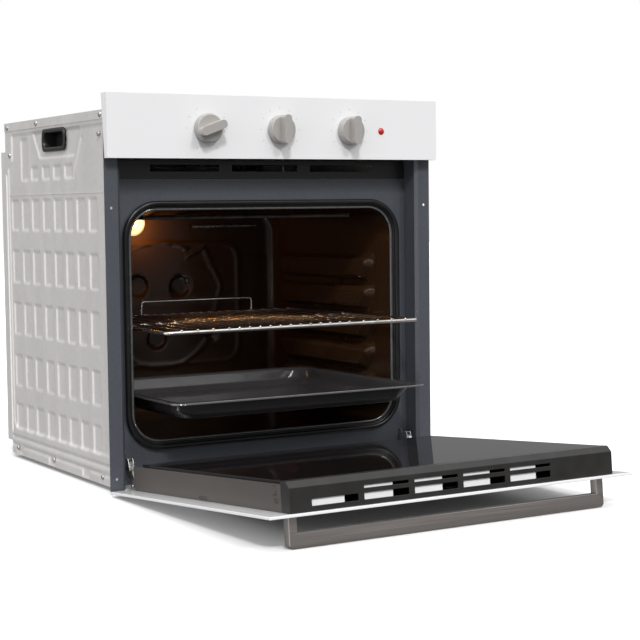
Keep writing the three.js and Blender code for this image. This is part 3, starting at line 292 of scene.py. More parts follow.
@contextmanager
def editing(mesh, source=None):
    """Edits a mesh, or fills it with an edited copy of a source."""
    work = bmesh.new()
    work.from_mesh(source or mesh)
    yield work
    work.to_mesh(mesh)
    work.free()


def outwards(piece):
    """Merges doubles and turns every face out."""
    with editing(piece.data) as work:
        bmesh.ops.remove_doubles(work, verts=work.verts, dist=1e-6)
        bmesh.ops.recalc_face_normals(work, faces=work.faces)
    return piece


def turn_towards(piece, direction, chosen):
    """Turns every face of an open shell the same way: those chosen by their middle face a direction."""
    outwards(piece)
    with editing(piece.data) as work:
        if sum(f.normal.dot(direction) for f in work.faces if chosen(f.calc_center_median())) < 0:
            bmesh.ops.reverse_faces(work, faces=work.faces)
    return piece


def thicken(piece, wall, offset, degrees):
    """Gives a sheet without thickness its wall, and shades it."""
    modifier = piece.modifiers.new("Wall", "SOLIDIFY")
    modifier.thickness = wall
    modifier.offset = offset
    settle(piece)
    smooth(piece, degrees)


def hand_in(piece, body, finish, slot, *replaced):
    """Gives a finished piece its body, and its finish where it has none yet; its slot is not used."""
    if finish is not None:
        piece.data.materials.clear()
        piece.data.materials.append(Finish.made[finish])
    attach(piece, body)
    if replaced:
        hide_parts(*replaced)
    return piece


def dress(finish, *names):
    """Gives CAD nodes that stay as they are a finish."""
    for name in names:
        data = frame["nodes"][name].data
        data.materials.clear()
        data.materials.append(Finish.made[finish])


def round_edges(work, edges, width, segments):
    settings = {"segments": segments, "profile": 0.6, "affect": "EDGES", "clamp_overlap": True}
    bmesh.ops.bevel(work, geom=edges, offset=width, **settings)


def softened(name, width, body, finish, slot, segments=2):
    """A CAD piece's own shape with its edges rounded and its flat faces kept flat."""
    mesh = bpy.data.meshes.new(name + "_finished")
    with editing(mesh, frame["nodes"][name].data) as work:
        bmesh.ops.remove_doubles(work, verts=work.verts, dist=2e-6)
        flat_angle = math.radians(0.5)
        bmesh.ops.dissolve_limit(work, angle_limit=flat_angle, verts=work.verts, edges=work.edges)
        edges = [e for e in work.edges if len(e.link_faces) == 2]
        sharp = [e for e in edges if e.calc_face_angle(0) > math.radians(EDGE_ANGLE)]
        round_edges(work, sharp, width, segments)
    piece = smooth(placed(name + "_finished", mesh), EDGE_ANGLE)
    flat = piece.modifiers.new("Flat faces", "WEIGHTED_NORMAL")
    flat.keep_sharp = True
    settle(piece)
    return hand_in(piece, body, finish, slot, name)


def rectangle(a0, a1, b0, b1):
    return [(a0, b0), (a1, b0), (a1, b1), (a0, b1)]


def stroke(a0, b0, a1, b1, width=0.6):
    """A thin strip from one point to another."""
    run = math.hypot(a1 - a0, b1 - b0)
    da, db = -(b1 - b0) / run * width / 2, (a1 - a0) / run * width / 2
    return [(a0 - da, b0 - db), (a1 - da, b1 - db), (a1 + da, b1 + db), (a0 + da, b0 + db)]


def polar(centre, radius, degrees):
    """The point at a radius and an angle from a centre."""
    turn = math.radians(degrees)
    return centre[0] + radius * math.cos(turn), centre[1] + radius * math.sin(turn)


def arc_strokes(centre, radius, start, end, steps):
    """An arc as short strokes, angles in degrees."""
    spots = [polar(centre, radius, start + (end - start) * n / steps) for n in range(steps + 1)]
    return [stroke(*a, *b) for a, b in zip(spots, spots[1:])]


def disc(centre, radius, sides=20):
    return [polar(centre, radius, 360 * n / sides) for n in range(sides)]


def press(piece, outlines, axis, at, slope, depth):
    """Presses a piece along an axis, near flat outlines in millimetres that lie across it at one place."""
    points, faces = [], []
    for outline in outlines:
        faces.append(tuple(range(len(points), len(points) + len(outline))))
        for a, b in outline:
            spot = [a * MM, b * MM]
            spot.insert(axis, at)
            points.append(spot)
    helper = mesh_piece(piece.name + "_pattern", points, faces)
    push = Vector()
    push[axis] = depth
    grow(piece, "Press", Pattern=helper, Slope=slope, Push=push)
    drop(helper)


def rounded_loop(half_a, low_b, high_b, radius, straight_a, straight_b, arc):
    """Points round a rounded rectangle, with that many steps on its straights and arcs."""
    side, bottom, top = half_a - radius, low_b + radius, high_b - radius
    corners = [((side, bottom), -90), ((side, top), 0), ((-side, top), 90), ((-side, bottom), 180)]
    spots = []
    for n, (centre, start) in enumerate(corners):
        spots += [polar(centre, radius, start + 90 * k / arc) for k in range(arc + 1)]
        (a, b), (next_centre, next_start) = spots[-1], corners[(n + 1) % 4]
        next_a, next_b = polar(next_centre, radius, next_start)
        steps = straight_b if n % 2 == 0 else straight_a
        spots += [(a + (next_a - a) * k / steps, b + (next_b - b) * k / steps) for k in range(1, steps)]
    return spots


def ring_faces(rings, count):
    """Quads between rings of points, ring after ring."""
    faces = []
    for base in range(0, (rings - 1) * count, count):
        for n in range(count):
            m = (n + 1) % count
            faces.append((base + n, base + m, base + count + m, base + count + n))
    return faces


def grid_faces(across, upward):
    """Quads of a grid of points with that many cells each way, row after row."""
    starts = [b * (across + 1) + a for b in range(upward) for a in range(across)]
    return [(s, s + 1, s + across + 2, s + across + 1) for s in starts]


def loop_edges(count, closed=True):
    return [(n, (n + 1) % count) for n in range(count if closed else count - 1)]


def loft(name, rings, hub, steps):
    """A shell through rings of points, its last ring closed by ever smaller ones round a hub."""
    last, hub = [Vector(p) for p in rings[-1]], Vector(hub)
    count = len(last)
    shells = rings + [[hub + (p - hub) * (1 - n / steps) for p in last] for n in range(1, steps)]
    points = [p for ring in shells for p in ring]
    base, end = len(points) - count, len(points)
    fan = [(base + n, base + (n + 1) % count, end) for n in range(count)]
    return mesh_piece(name, points + [hub], ring_faces(len(shells), count) + fan)


def slabs(name, outlines, low, high):
    """Four-cornered plates between two heights."""
    points, faces = [], []
    for outline in outlines:
        base = len(points)
        points += [(x, y, z) for z in (low, high) for x, y in outline]
        faces += [(base + 3, base + 2, base + 1, base), (base + 4, base + 5, base + 6, base + 7)]
        faces += [(base + k, base + (k + 1) % 4, base + 4 + (k + 1) % 4, base + 4 + k) for k in range(4)]
    return mesh_piece(name, points, faces)


def metres(outline):
    return [(a * MM, b * MM) for a, b in outline]


def shut_box(name):
    """A door node's corners with the door shut."""
    back = DOOR_TURN.inverted()
    spots = [back @ v.co for v in frame["nodes"][name].data.vertices]
    return [Vector(pick(p[k] for p in spots) for k in range(3)) for pick in (min, max)]


# ---------------------------------------------------------------- finishes
class Finish:
    """A material built on one principled shader, patterned in the piece's own coordinates."""

    made = {}

    def __init__(self, name, color, metallic, roughness, **sockets):
        self.material = bpy.data.materials.new(name)
        self.material.use_nodes = True
        self.tree = self.material.node_tree
        self.shader = self.tree.nodes["Principled BSDF"]
        self.shader.inputs["Base Color"].default_value = (*color, 1.0)
        self.shader.inputs["Metallic"].default_value = metallic
        self.shader.inputs["Roughness"].default_value = roughness
        for label, value in sockets.items():
            self.shader.inputs[label.replace("_", " ")].default_value = value
        self.place = node(self.tree, "ShaderNodeTexCoord").outputs["Object"]
        self.material.diffuse_color = (*color, 1.0)
        Finish.made[name] = self.material

    def noise(self, scale, detail=3.0, stretch=(1, 1, 1)):
        """Cloudy noise, drawn out along the axes with a small stretch."""
        stretched = node(self.tree, "ShaderNodeMapping", {"Vector": self.place, "Scale": stretch})
        inputs = {"Vector": stretched.outputs[0], "Scale": scale, "Detail": detail, "Roughness": 0.5}
        return node(self.tree, "ShaderNodeTexNoise", inputs).outputs["Fac"]

    def cells(self, scale, output="Distance"):
        texture = node(self.tree, "ShaderNodeTexVoronoi", {"Vector": self.place, "Scale": scale})
        return texture.outputs[output]

    def between(self, value, low, high, start=0.3, end=0.7):
        """Maps a pattern to a number."""
        inputs = {"Value": value, "From Min": start, "From Max": end, "To Min": low, "To Max": high}
        return node(self.tree, "ShaderNodeMapRange", inputs).outputs["Result"]

    def tint(self, value, low, high, start=0.3, end=0.7):
        """Varies the colour between two colours by a pattern."""
        inputs = {0: self.between(value, 0.0, 1.0, start, end), 6: (*low, 1.0), 7: (*high, 1.0)}
        mixed = node(self.tree, "ShaderNodeMix", inputs, data_type="RGBA")
        self.tree.links.new(mixed.outputs[2], self.shader.inputs["Base Color"])

    def gloss(self, value, low, high):
        """Varies the roughness between two values by a pattern."""
        self.tree.links.new(self.between(value, low, high), self.shader.inputs["Roughness"])

    def bump(self, height, distance, strength):
        inputs = {"Height": height, "Distance": distance, "Strength": strength}
        made = node(self.tree, "ShaderNodeBump", inputs)
        self.tree.links.new(made.outputs[0], self.shader.inputs["Normal"])


def scaled(color, factor):
    return tuple(min(1.0, c * factor) for c in color)


def zinc_finish(c):
    f = Finish("zinc_sheet", c.zinc, 0.5, 0.34)
    spangle = f.cells(140.0, output="Color")
    f.tint(spangle, scaled(c.zinc, 0.96), scaled(c.zinc, 1.03), 0.0, 1.0)
    f.gloss(f.noise(30.0, 4.0, (1, 1, 0.25)), 0.29, 0.40)
    f.bump(f.noise(26.0, 3.0, (1, 1, 0.3)), 0.0003, 0.25)


def frame_enamel_finish(c):
    f = Finish("frame_enamel", c.frame_enamel, 0.15, 0.34, Coat_Weight=0.25, Coat_Roughness=0.25)
    f.tint(f.noise(420.0, 2.0), scaled(c.frame_enamel, 0.9), scaled(c.frame_enamel, 1.12))
    f.gloss(f.noise(14.0, 3.0), 0.30, 0.42)
    f.bump(f.noise(520.0, 2.0), 0.00005, 0.5)


def dark_enamel_finish(c):
    f = Finish("dark_enamel", c.dark_enamel, 0.0, 0.36, Coat_Weight=0.2, Coat_Roughness=0.3)
    f.tint(f.noise(260.0, 2.0), scaled(c.dark_enamel, 0.8), scaled(c.dark_enamel, 1.3))
    f.bump(f.noise(600.0, 2.0), 0.00005, 0.5)


def cavity_finish(c):
    coat = {"Coat_Weight": 0.06, "Coat_Roughness": 0.06}
    f = Finish("cavity_enamel", c.cavity, 0.0, 0.20, Specular_IOR_Level=0.34, **coat)
    f.tint(f.cells(850.0), (0.12, 0.10, 0.08), c.cavity, 0.07, 0.13)
    f.gloss(f.noise(22.0, 4.0), 0.12, 0.25)
    f.bump(f.noise(95.0, 3.0), 0.00025, 0.6)


# Painted highlight: the rolled lips round the opening and the tray are a lighter, half-metallic grey instead
# of their own dark enamel, standing in for the bright line that light draws along them.
def lip_highlight_finish(_):
    f = Finish("lip_enamel", (0.13, 0.13, 0.135), 0.55, 0.16, Coat_Weight=0.4, Coat_Roughness=0.08)
    f.tint(f.noise(180.0, 3.0), (0.10, 0.10, 0.105), (0.16, 0.16, 0.165))
    f.bump(f.noise(240.0, 2.0), 0.0001, 0.5)


def tray_finish(c):
    f = Finish("tray_enamel", c.tray, 0.0, 0.16, Coat_Weight=0.6, Coat_Roughness=0.05)
    f.tint(f.cells(900.0), (0.13, 0.13, 0.14), c.tray, 0.08, 0.15)
    f.gloss(f.noise(26.0, 4.0), 0.11, 0.24)
    f.bump(f.noise(120.0, 3.0), 0.0002, 0.6)


def white_finish(c):
    f = Finish("white_enamel", c.white, 0.0, 0.28, Coat_Weight=0.3, Coat_Roughness=0.12)
    f.tint(f.noise(5.0, 2.0), scaled(c.white, 0.99), scaled(c.white, 1.02))
    f.bump(f.noise(330.0, 2.0), 0.00004, 0.5)


def channel_finish(c):
    f = Finish("channel_paint", c.channel, 0.25, 0.40)
    f.tint(f.noise(12.0, 4.0, (1, 0.3, 1)), scaled(c.channel, 0.88), scaled(c.channel, 1.1))
    f.bump(f.noise(480.0, 2.0), 0.00005, 0.5)


def knob_finish(c):
    f = Finish("knob_plastic", c.knob, 0.35, 0.36)
    f.tint(f.noise(900.0, 2.0), scaled(c.knob, 0.93), scaled(c.knob, 1.06))
    f.bump(f.noise(1200.0, 1.0), 0.00003, 0.4)


def plastic_finish(c):
    f = Finish("black_plastic", c.plastic, 0.0, 0.30, Specular_IOR_Level=0.28)
    f.tint(f.noise(30.0, 3.0), scaled(c.plastic, 0.85), scaled(c.plastic, 1.25))
    f.bump(f.noise(1100.0, 2.0), 0.00008, 0.6)


def gasket_finish(c):
    f = Finish("gasket_rubber", scaled(c.gasket, 0.6), 0.0, 0.30, Specular_IOR_Level=0.35)
    f.tint(f.noise(40.0, 3.0), scaled(c.gasket, 0.5), scaled(c.gasket, 0.8))
    f.bump(f.noise(700.0, 2.0), 0.0001, 0.5)


def chrome_finish(_):
    f = Finish("chrome_wire", (0.70, 0.68, 0.66), 1.0, 0.14)
    f.tint(f.noise(60.0, 3.0), (0.56, 0.52, 0.48), (0.76, 0.74, 0.72))
    f.gloss(f.noise(90.0, 3.0), 0.10, 0.26)


def steel_finish(_):
    f = Finish("zinc_plated_steel", (0.50, 0.50, 0.50), 0.95, 0.32)
    f.tint(f.noise(85.0, 4.0), (0.38, 0.38, 0.38), (0.60, 0.60, 0.59))
    f.gloss(f.noise(160.0, 3.0), 0.22, 0.44)
    f.bump(f.noise(240.0, 3.0), 0.0001, 0.4)


def element_finish(_):
    f = Finish("heating_sheath", (0.075, 0.068, 0.064), 0.75, 0.48)
    f.tint(f.noise(45.0, 4.0), (0.05, 0.045, 0.042), (0.12, 0.105, 0.095))
    f.bump(f.noise(400.0, 2.0), 0.0001, 0.5)


def aluminium_finish(_):
    f = Finish("mill_aluminium", (0.70, 0.70, 0.71), 1.0, 0.35)
    f.gloss(f.noise(70.0, 3.0, (1, 8, 1)), 0.28, 0.45)


def handle_finish(c):
    f = Finish("brushed_handle", c.handle, 1.0, 0.34)
    grain = f.noise(1.0, 3.0, (6, 1500, 1500))
    f.tint(grain, scaled(c.handle, 0.82), scaled(c.handle, 1.10))
    f.gloss(grain, 0.27, 0.42)
    f.bump(grain, 0.00006, 0.5)


def dark_glass_finish(_):
    f = Finish("screening_glass", (0.010, 0.008, 0.008), 0.0, 0.03, IOR=1.52, Specular_IOR_Level=0.28)
    f.gloss(f.noise(16.0, 4.0), 0.02, 0.07)


# The clear window in the door's front glass: half its width and height, its middle and its corners.
WINDOW = {"half_x": 0.212, "half_z": 0.150, "middle_z": 0.262, "corner": 0.012}


def white_glass_finish(c):
    """White-backed glass with a clear window in the middle, laid out on the closed door."""
    backing = scaled(c.white, 1.04)
    coat = {"Coat_Weight": 0.3, "Coat_Roughness": 0.02}
    f = Finish("door_front_glass", backing, 0.0, 0.05, IOR=1.52, **coat)

    def sum_of(operation, *values):
        return node(f.tree, "ShaderNodeMath", dict(enumerate(values)), operation=operation).outputs[0]

    turn = {"Vector": f.place, "Location": DOOR_PIVOT, "Rotation": (DOOR_OPEN, 0.0, 0.0)}
    shut = node(f.tree, "ShaderNodeMapping", turn, vector_type="TEXTURE")
    parts = node(f.tree, "ShaderNodeSeparateXYZ", {"Vector": shut.outputs[0]})
    past_side = sum_of("SUBTRACT", sum_of("ABSOLUTE", parts.outputs["X"]), WINDOW["half_x"])
    up = sum_of("SUBTRACT", parts.outputs["Z"], WINDOW["middle_z"] - DOOR_PIVOT.z)
    past_end = sum_of("SUBTRACT", sum_of("ABSOLUTE", up), WINDOW["half_z"])
    outside = sum_of("SMOOTH_MAX", past_side, past_end, WINDOW["corner"])
    f.tint(outside, (0.012, 0.012, 0.013), backing, 0.0, 0.0006)


def lens_finish(_):
    f = Finish("red_lens", (0.50, 0.012, 0.010), 0.0, 0.12, Coat_Weight=0.5)
    f.bump(f.cells(900.0), 0.0001, 0.6)


def lamp_glass_finish(_):
    f = Finish("lamp_glass", (1.0, 0.90, 0.72), 0.0, 0.10, Transmission_Weight=0.95, IOR=1.45)
    f.shader.inputs["Emission Color"].default_value = (1.0, 0.62, 0.28, 1.0)
    f.shader.inputs["Emission Strength"].default_value = 0.9
    f.bump(f.cells(260.0), 0.0004, 0.5)


def lamp_glow_finish(c):
    f = Finish("lamp_glow", c.lamp, 0.0, 0.3, Emission_Color=(1.0, 0.60, 0.26, 1.0), Emission_Strength=26.0)
    f.gloss(f.noise(200.0), 0.25, 0.4)


def wool_finish(_):
    f = Finish("mineral_wool", (0.62, 0.53, 0.27), 0.0, 0.95)
    f.tint(f.noise(180.0, 5.0, (1, 1, 3)), (0.45, 0.37, 0.16), (0.76, 0.68, 0.42))
    f.bump(f.noise(320.0, 4.0), 0.0015, 0.8)


def ceramic_finish(_):
    f = Finish("steatite", (0.72, 0.68, 0.60), 0.0, 0.55)
    f.tint(f.noise(300.0, 3.0), (0.66, 0.62, 0.54), (0.78, 0.74, 0.66))
    f.bump(f.noise(500.0, 3.0), 0.0001, 0.5)


def print_finish(_):
    f = Finish("dial_print", (0.46, 0.46, 0.47), 0.0, 0.5)
    f.tint(f.noise(500.0, 2.0), (0.42, 0.42, 0.43), (0.52, 0.52, 0.53))


def floor_finish(_):
    f = Finish("pale_floor", (0.90, 0.90, 0.90), 0.0, 0.6)
    f.tint(f.noise(3.0, 2.0), (0.89, 0.89, 0.89), (0.91, 0.91, 0.91))


FINISH_MAKERS = (
    zinc_finish,
    frame_enamel_finish,
    dark_enamel_finish,
    cavity_finish,
    tray_finish,
    white_finish,
    channel_finish,
    knob_finish,
    plastic_finish,
    gasket_finish,
    chrome_finish,
    steel_finish,
    element_finish,
    aluminium_finish,
    handle_finish,
    dark_glass_finish,
    white_glass_finish,
    lens_finish,
    lamp_glass_finish,
    lamp_glow_finish,
    wool_finish,
    ceramic_finish,
    print_finish,
    floor_finish,
    lip_highlight_finish,
)


# ---------------------------------------------------------------- operators
class OVEN_OT_finishes(bpy.types.Operator):
    """Makes every material."""

    bl_idname = "oven.finishes"
    bl_label = "Finishes"

    def execute(self, context):
        for maker in FINISH_MAKERS:
            maker(context.scene.oven_finishes)
        return {"FINISHED"}


# The pressed side panel, in millimetres from the front (y) and the underside (z).
# Each pad has its back edge, foot and top; the last of the top row is open to the grip's hollow.
PAD_WIDTH = 36
PAD_BACKS = (104, 153.5, 202, 251, 300.5, 352, 400, 450)
PAD_ROWS = ((44, 92), (120, 178), (211, 270), (301, 361), (392, 448))
TOP_PADS = ((202, 503), (251, 503), (300.5, 503), (352, 503), (400, 551.5))
TOP_PAD_FOOT = 477
FIELD = [(22, 50), (448, 50), (456, 60), (456, 500), (436, 512), (436, 556), (22, 556)]
GRIP_HOLLOW = [(158, 517), (308, 517), (336, 556), (134, 556)]
SLANT = [stroke(162, 481, 124, 540, 3)]
FOLDS = [stroke(4, 30, 466, 30, 1), stroke(4, 16, 466, 16, 1), stroke(466, 40, 466, 490, 1)]
FEET = [rectangle(y - 12, y + 12, 5, 12) for y in (433, 280, 133)]
GRIP = {"y": 241, "z": 543, "half": 51, "rise": 19, "bulge": 10, "seat": 3.5, "depth": 22}


def grip_outline(inset, steps=10):
    """The grip's barrel shape in millimetres (y, z): flat top and bottom, bowed ends."""
    straight, rise = GRIP["half"] - inset - GRIP["bulge"], GRIP["rise"] - inset
    spots = []
    for sign in (1, -1):
        for n in range(steps + 1):
            turn = math.radians(-90 + 180 * n / steps)
            along = straight + GRIP["bulge"] * max(math.cos(turn), 0.0) ** 0.7
            spots.append((GRIP["y"] + sign * along, GRIP["z"] + sign * rise * math.sin(turn)))
    return spots


def in_grip(y, z, inset):
    """Whether a point lies inside the grip's outline, drawn in by inset."""
    up = abs(z - GRIP["z"]) / (GRIP["rise"] - inset)
    reach = GRIP["half"] - inset - GRIP["bulge"] * (1 - math.sqrt(max(0.0, 1 - min(up, 1) ** 2)))
    return up < 1 and abs(y - GRIP["y"]) < reach


def pad(back, foot, top, slope):
    """The flat of a pad, within its sloping edges."""
    return rectangle(back - PAD_WIDTH + slope, back - slope, foot + slope, top - slope)


def side_panel(side, sign, sizes):
    """A casing side: one sheet pressed with a large field, rows of pads and the grip's hollow."""
    node_name = f"side_panel_{side}"
    low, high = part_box(node_name)
    face = high.x if sign > 0 else low.x
    across = round((high.y - low.y) / sizes.panel_step)
    upward = round((high.z - low.z) / sizes.panel_step)
    points = [
        (face, low.y + (high.y - low.y) * a / across, low.z + (high.z - low.z) * b / upward)
        for b in range(upward + 1)
        for a in range(across + 1)
    ]
    half_step = sizes.panel_step / 2
    faces = []
    for quad in grid_faces(across, upward):
        _, y, z = points[quad[0]]
        if not in_grip((y + half_step) / MM, (z + half_step) / MM, GRIP["seat"]):
            faces.append(quad if sign > 0 else quad[::-1])
    piece = mesh_piece(f"side_sheet_{side}", points, faces)
    field, deep = -sign * sizes.field_depth, -sign * sizes.pad_depth
    slope = sizes.pad_slope / MM
    pads = [pad(back, foot, top, slope) for foot, top in PAD_ROWS for back in PAD_BACKS]
    pads += [pad(back, TOP_PAD_FOOT, top, slope) for back, top in TOP_PADS]
    press(piece, [FIELD], X, face, 0.005, field)
    press(piece, pads, X, face, sizes.pad_slope, deep)
    press(piece, [GRIP_HOLLOW], X, face, sizes.pad_slope, deep)
    press(piece, SLANT, X, face, 0.005, field)
    for outlines in (FOLDS, FEET):
        press(piece, outlines, X, face, 0.004, field)
    thicken(piece, high.x - low.x, -1, 60)
    hand_in(piece, "cabinet", "zinc_sheet", "galvanised", node_name)


def carry_grip(side, sign):
    """A moulded grip: a flat rim with a rolled edge, a deep barrel-shaped well and a bottom."""
    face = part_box(f"side_panel_{side}")[0 if sign < 0 else 1].x
    depth = GRIP["depth"]
    rim = [(0, -0.2), (0.3, 0.7), (1.2, 1.2), (5.4, 1.2), (6.4, 0.9), (7.0, 0.1)]
    well = [(7.0 + 0.4 * n, -depth * n / 6) for n in range(1, 7)]
    bottom = [(11.5, -depth - 0.6), (14.5, -depth - 0.8)]
    levels = rim + well + bottom
    points = []
    for inset, out in levels:
        outline = grip_outline(inset)
        points += [(face + sign * out * MM, y * MM, z * MM) for y, z in outline]
    count = len(outline)
    faces = ring_faces(len(levels), count)
    faces.append(tuple((len(levels) - 1) * count + n for n in range(count)))
    piece = mesh_piece(f"grip_{side}", points, faces)
    turn_towards(piece, Vector((sign, 0, 0)), lambda middle: middle.x * sign > abs(face) + 0.001)
    thicken(piece, 0.0011, -1, 40)
    hand_in(piece, "cabinet", "black_plastic", "black_plastic", f"carry_grip_{side}")


class OVEN_OT_casing(bpy.types.Operator):
    """Casing: pressed side panels, covers and carry grips."""

    bl_idname = "oven.casing"
    bl_label = "Casing"

    def execute(self, context):
        sizes = context.scene.oven_sizes
        for side, sign in SIDES:
            side_panel(side, sign, sizes)
            carry_grip(side, sign)
        for name in ("base_panel", "rear_panel"):
            softened(name, sizes.edge, "cabinet", "zinc_sheet", "galvanised")
        top_sheet()
        rear_sheet()
        softened("terminal_cover", sizes.moulded_edge, "cabinet", "black_plastic", "black_plastic", 3)
        dress("steatite", "terminal_block")
        return {"FINISHED"}


def flat_sheet(name, corner, along, up, counts):
    """A flat grid of points from a corner along two directions."""
    points = [
        Vector(corner) + Vector(along) * (a / counts[0]) + Vector(up) * (b / counts[1])
        for b in range(counts[1] + 1)
        for a in range(counts[0] + 1)
    ]
    return mesh_piece(name, points, grid_faces(*counts))


def folded_cover(sheet, node_name, outlines, axis, depth, open_ends):
    """Presses a cover's face and folds its walls. Open ends have none at the front and back."""
    low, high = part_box(node_name)
    press(sheet, outlines, axis, high[axis], 0.006, depth)
    wall = Vector()
    wall[axis] = low[axis] - high[axis]
    with editing(sheet.data) as work:
        rim = [e for e in work.edges if e.is_boundary]
        if open_ends:
            rim = [e for e in rim if low.y + 1e-4 < sum(v.co.y for v in e.verts) / 2 < high.y - 1e-4]
        pulled = bmesh.ops.extrude_edge_only(work, edges=rim)
        moved = [v for v in pulled["geom"] if isinstance(v, bmesh.types.BMVert)]
        bmesh.ops.translate(work, verts=moved, vec=wall)
    thicken(sheet, SHEET_WALL, -1, 40)
    hand_in(sheet, "cabinet", "zinc_sheet", "galvanised", node_name)


def top_sheet():
    low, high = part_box("top_cover")
    size = high - low
    sheet = flat_sheet("top_sheet", (low.x, low.y, high.z), (size.x, 0, 0), (0, size.y, 0), (140, 118))
    spots = [(-225, 60), (225, 60), (225, 410), (-225, 410)]
    ribs = [stroke(*spots[a], *spots[b], 8) for a, b in ((0, 1), (3, 2), (0, 3), (1, 2))]
    ribs += [stroke(-150, 120, 150, 350, 8), stroke(-150, 350, 150, 120, 8)]
    folded_cover(sheet, "top_cover", ribs, Z, -0.0022, True)


def rear_sheet():
    low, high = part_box("rear_cover")
    size = high - low
    sheet = flat_sheet("rear_sheet", (high.x, high.y, low.z), (-size.x, 0, 0), (0, 0, size.z), (132, 128))
    pads = [rectangle(-215 + 112 * n, -215 + 112 * n + 82, 60, 300) for n in range(4)]
    louvres = [stroke(-230, 345 + 14 * n, 230, 345 + 14 * n, 3) for n in range(8)]
    folded_cover(sheet, "rear_cover", pads + louvres + [rectangle(-228, 228, 478, 502)], Y, -0.0024, False)


# Where the screws sit on each face, in millimetres.
SCREWS = {
    "sides": [(455, 572), (315, 573), (44, 573), (53, 544), (448, 524), (440, 12), (270, 12), (64, 12)],
    "rear": [(-90, 563), (90, 563)],
    "top": [(-262, 20), (262, 20), (-262, 235), (262, 235), (-262, 452), (262, 452), (0, 20), (0, 456)],
}
# The first screw's turn on each face, and how much further each next one is turned, in radians.
SCREW_TURNS = {"sides": (0.0, 0.4), "rear": (3.0, 0.5), "top": (0.0, 0.3)}


def screw_head(radius):
    """A pan-head screw with a cross recess, its seat at the origin and its head up."""
    count = 16
    outline = [(1.0, 0.0), (1.0, 0.22), (0.86, 0.42), (0.6, 0.52)]
    levels = [([reach] * count, height) for reach, height in outline]
    for tip, waist, height in ((0.46, 0.13, 0.53), (0.42, 0.1, 0.2)):
        levels.append(([waist if n % 4 else tip for n in range(count)], height))
    points = [
        (*polar((0, 0), radius * reach, 360 * n / count), radius * height)
        for reaches, height in levels
        for n, reach in enumerate(reaches)
    ]
    caps = [tuple(range(len(points) - count, len(points))), tuple(reversed(range(count)))]
    return mesh_piece("screw_shape", points, ring_faces(len(levels), count) + caps)


def scatter(name, spots, shape, finish):
    """Copies of a small shape, which is then dropped, at (place, facing, spin)."""
    points = mesh_piece(name, [place for place, _, _ in spots], [])
    points.data.attributes.new("facing", "FLOAT_VECTOR", "POINT")
    points.data.attributes.new("spin", "FLOAT", "POINT")
    facing, spin = points.data.attributes["facing"], points.data.attributes["spin"]
    for n, (_, towards, turn) in enumerate(spots):
        facing.data[n].vector = towards
        spin.data[n].value = turn
    grow(points, "Scatter", finish, Shape=shape)
    drop(shape)
    return smooth(points, 40)


class OVEN_OT_screws(bpy.types.Operator):
    """Casing screws on the sides, back and top."""

    bl_idname = "oven.screws"
    bl_label = "Screws"

    def execute(self, context):
        low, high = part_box("top_cover")
        rear_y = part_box("rear_panel")[1].y
        side_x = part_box("side_panel_right")[1].x
        spots = []
        for where, places in SCREWS.items():
            first, step = SCREW_TURNS[where]
            for n, (a, b) in enumerate(metres(places)):
                turn = first + step * n
                if where == "sides":
                    x = high.x if b > low.z else side_x
                    spots += [((sign * x, a, b), (sign, 0, 0), turn) for _, sign in SIDES]
                elif where == "rear":
                    spots.append(((a, rear_y, b), (0, 1, 0), turn))
                else:
                    spots.append(((a, b, high.z), (0, 0, 1), turn))
        shape = screw_head(context.scene.oven_sizes.screw)
        hand_in(scatter("casing_screws", spots, shape, "zinc_plated_steel"), "cabinet", None, "steel")
        return {"FINISHED"}


class OVEN_OT_front_frame(bpy.types.Operator):
    """Front frame: columns, face plate and air outlet."""

    bl_idname = "oven.front_frame"
    bl_label = "Front Frame"

    def execute(self, context):
        edge = context.scene.oven_sizes.edge
        for name in ("front_column_left", "front_column_right", "face_plate"):
            softened(name, edge, "cabinet", "frame_enamel", "frame_enamel")
        softened("air_outlet_grille", edge, "cabinet", "dark_enamel", "dark_enamel")
        return {"FINISHED"}


OPENING = {"half": 0.240, "low": 0.066, "high": 0.427, "radius": 0.045}


def opening_loop(out, arc=10):
    o = OPENING
    return rounded_loop(o["half"] + out, o["low"] - out, o["high"] + out, o["radius"] + out, 4, 4, arc)


def bead_ring(name, out, y, radius, finish, slot, *replaced):
    """A round bead that runs round the opening, this far outside its edge."""
    loop = opening_loop(out)
    piece = mesh_piece(name, [(x, y, z) for x, z in loop], [], loop_edges(len(loop)))
    grow(piece, "Bead", finish, Radius=radius, Sides=14)
    smooth(outwards(piece), 60)
    hand_in(piece, "cabinet", None, slot, *replaced)


class OVEN_OT_gasket(bpy.types.Operator):
    """Door gasket, a fat bead and a thin inner one, and the opening's rolled lip."""

    bl_idname = "oven.gasket"
    bl_label = "Gasket"

    def execute(self, context):
        bead, lip, foot = context.scene.oven_sizes.bead, context.scene.oven_sizes.lip, 0.0022
        front, back = (corner.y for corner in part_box("door_gasket"))
        bead_ring("gasket_bead", 0.0095, front + bead, bead, "gasket_rubber", "gasket_rubber", "door_gasket")
        bead_ring("gasket_foot", 0.0055, back - foot, foot, "gasket_rubber", "gasket_rubber")
        # The opening's lip is the cavity's enamel, given the lighter grey of a painted highlight.
        bead_ring("opening_lip", 0.0004, back + 0.0004, lip, "lip_enamel", "cavity_enamel")
        return {"FINISHED"}


class OVEN_OT_cavity(bpy.types.Operator):
    """Cavity: one enamelled box with coves, pressed back and shelf guides."""

    bl_idname = "oven.cavity"
    bl_label = "Cavity"

    def execute(self, context):
        cavity_liner(context.scene.oven_sizes)
        dress("heating_sheath", "upper_element", "lower_element")
        dress("zinc_plated_steel", "thermostat_probe")
        dress("steatite", "lamp_holder")
        dress("lamp_glow", "lamp_bulb")
        dress("lamp_glass", "lamp_lens")
        dress("mineral_wool", "insulation_blanket")
        return {"FINISHED"}


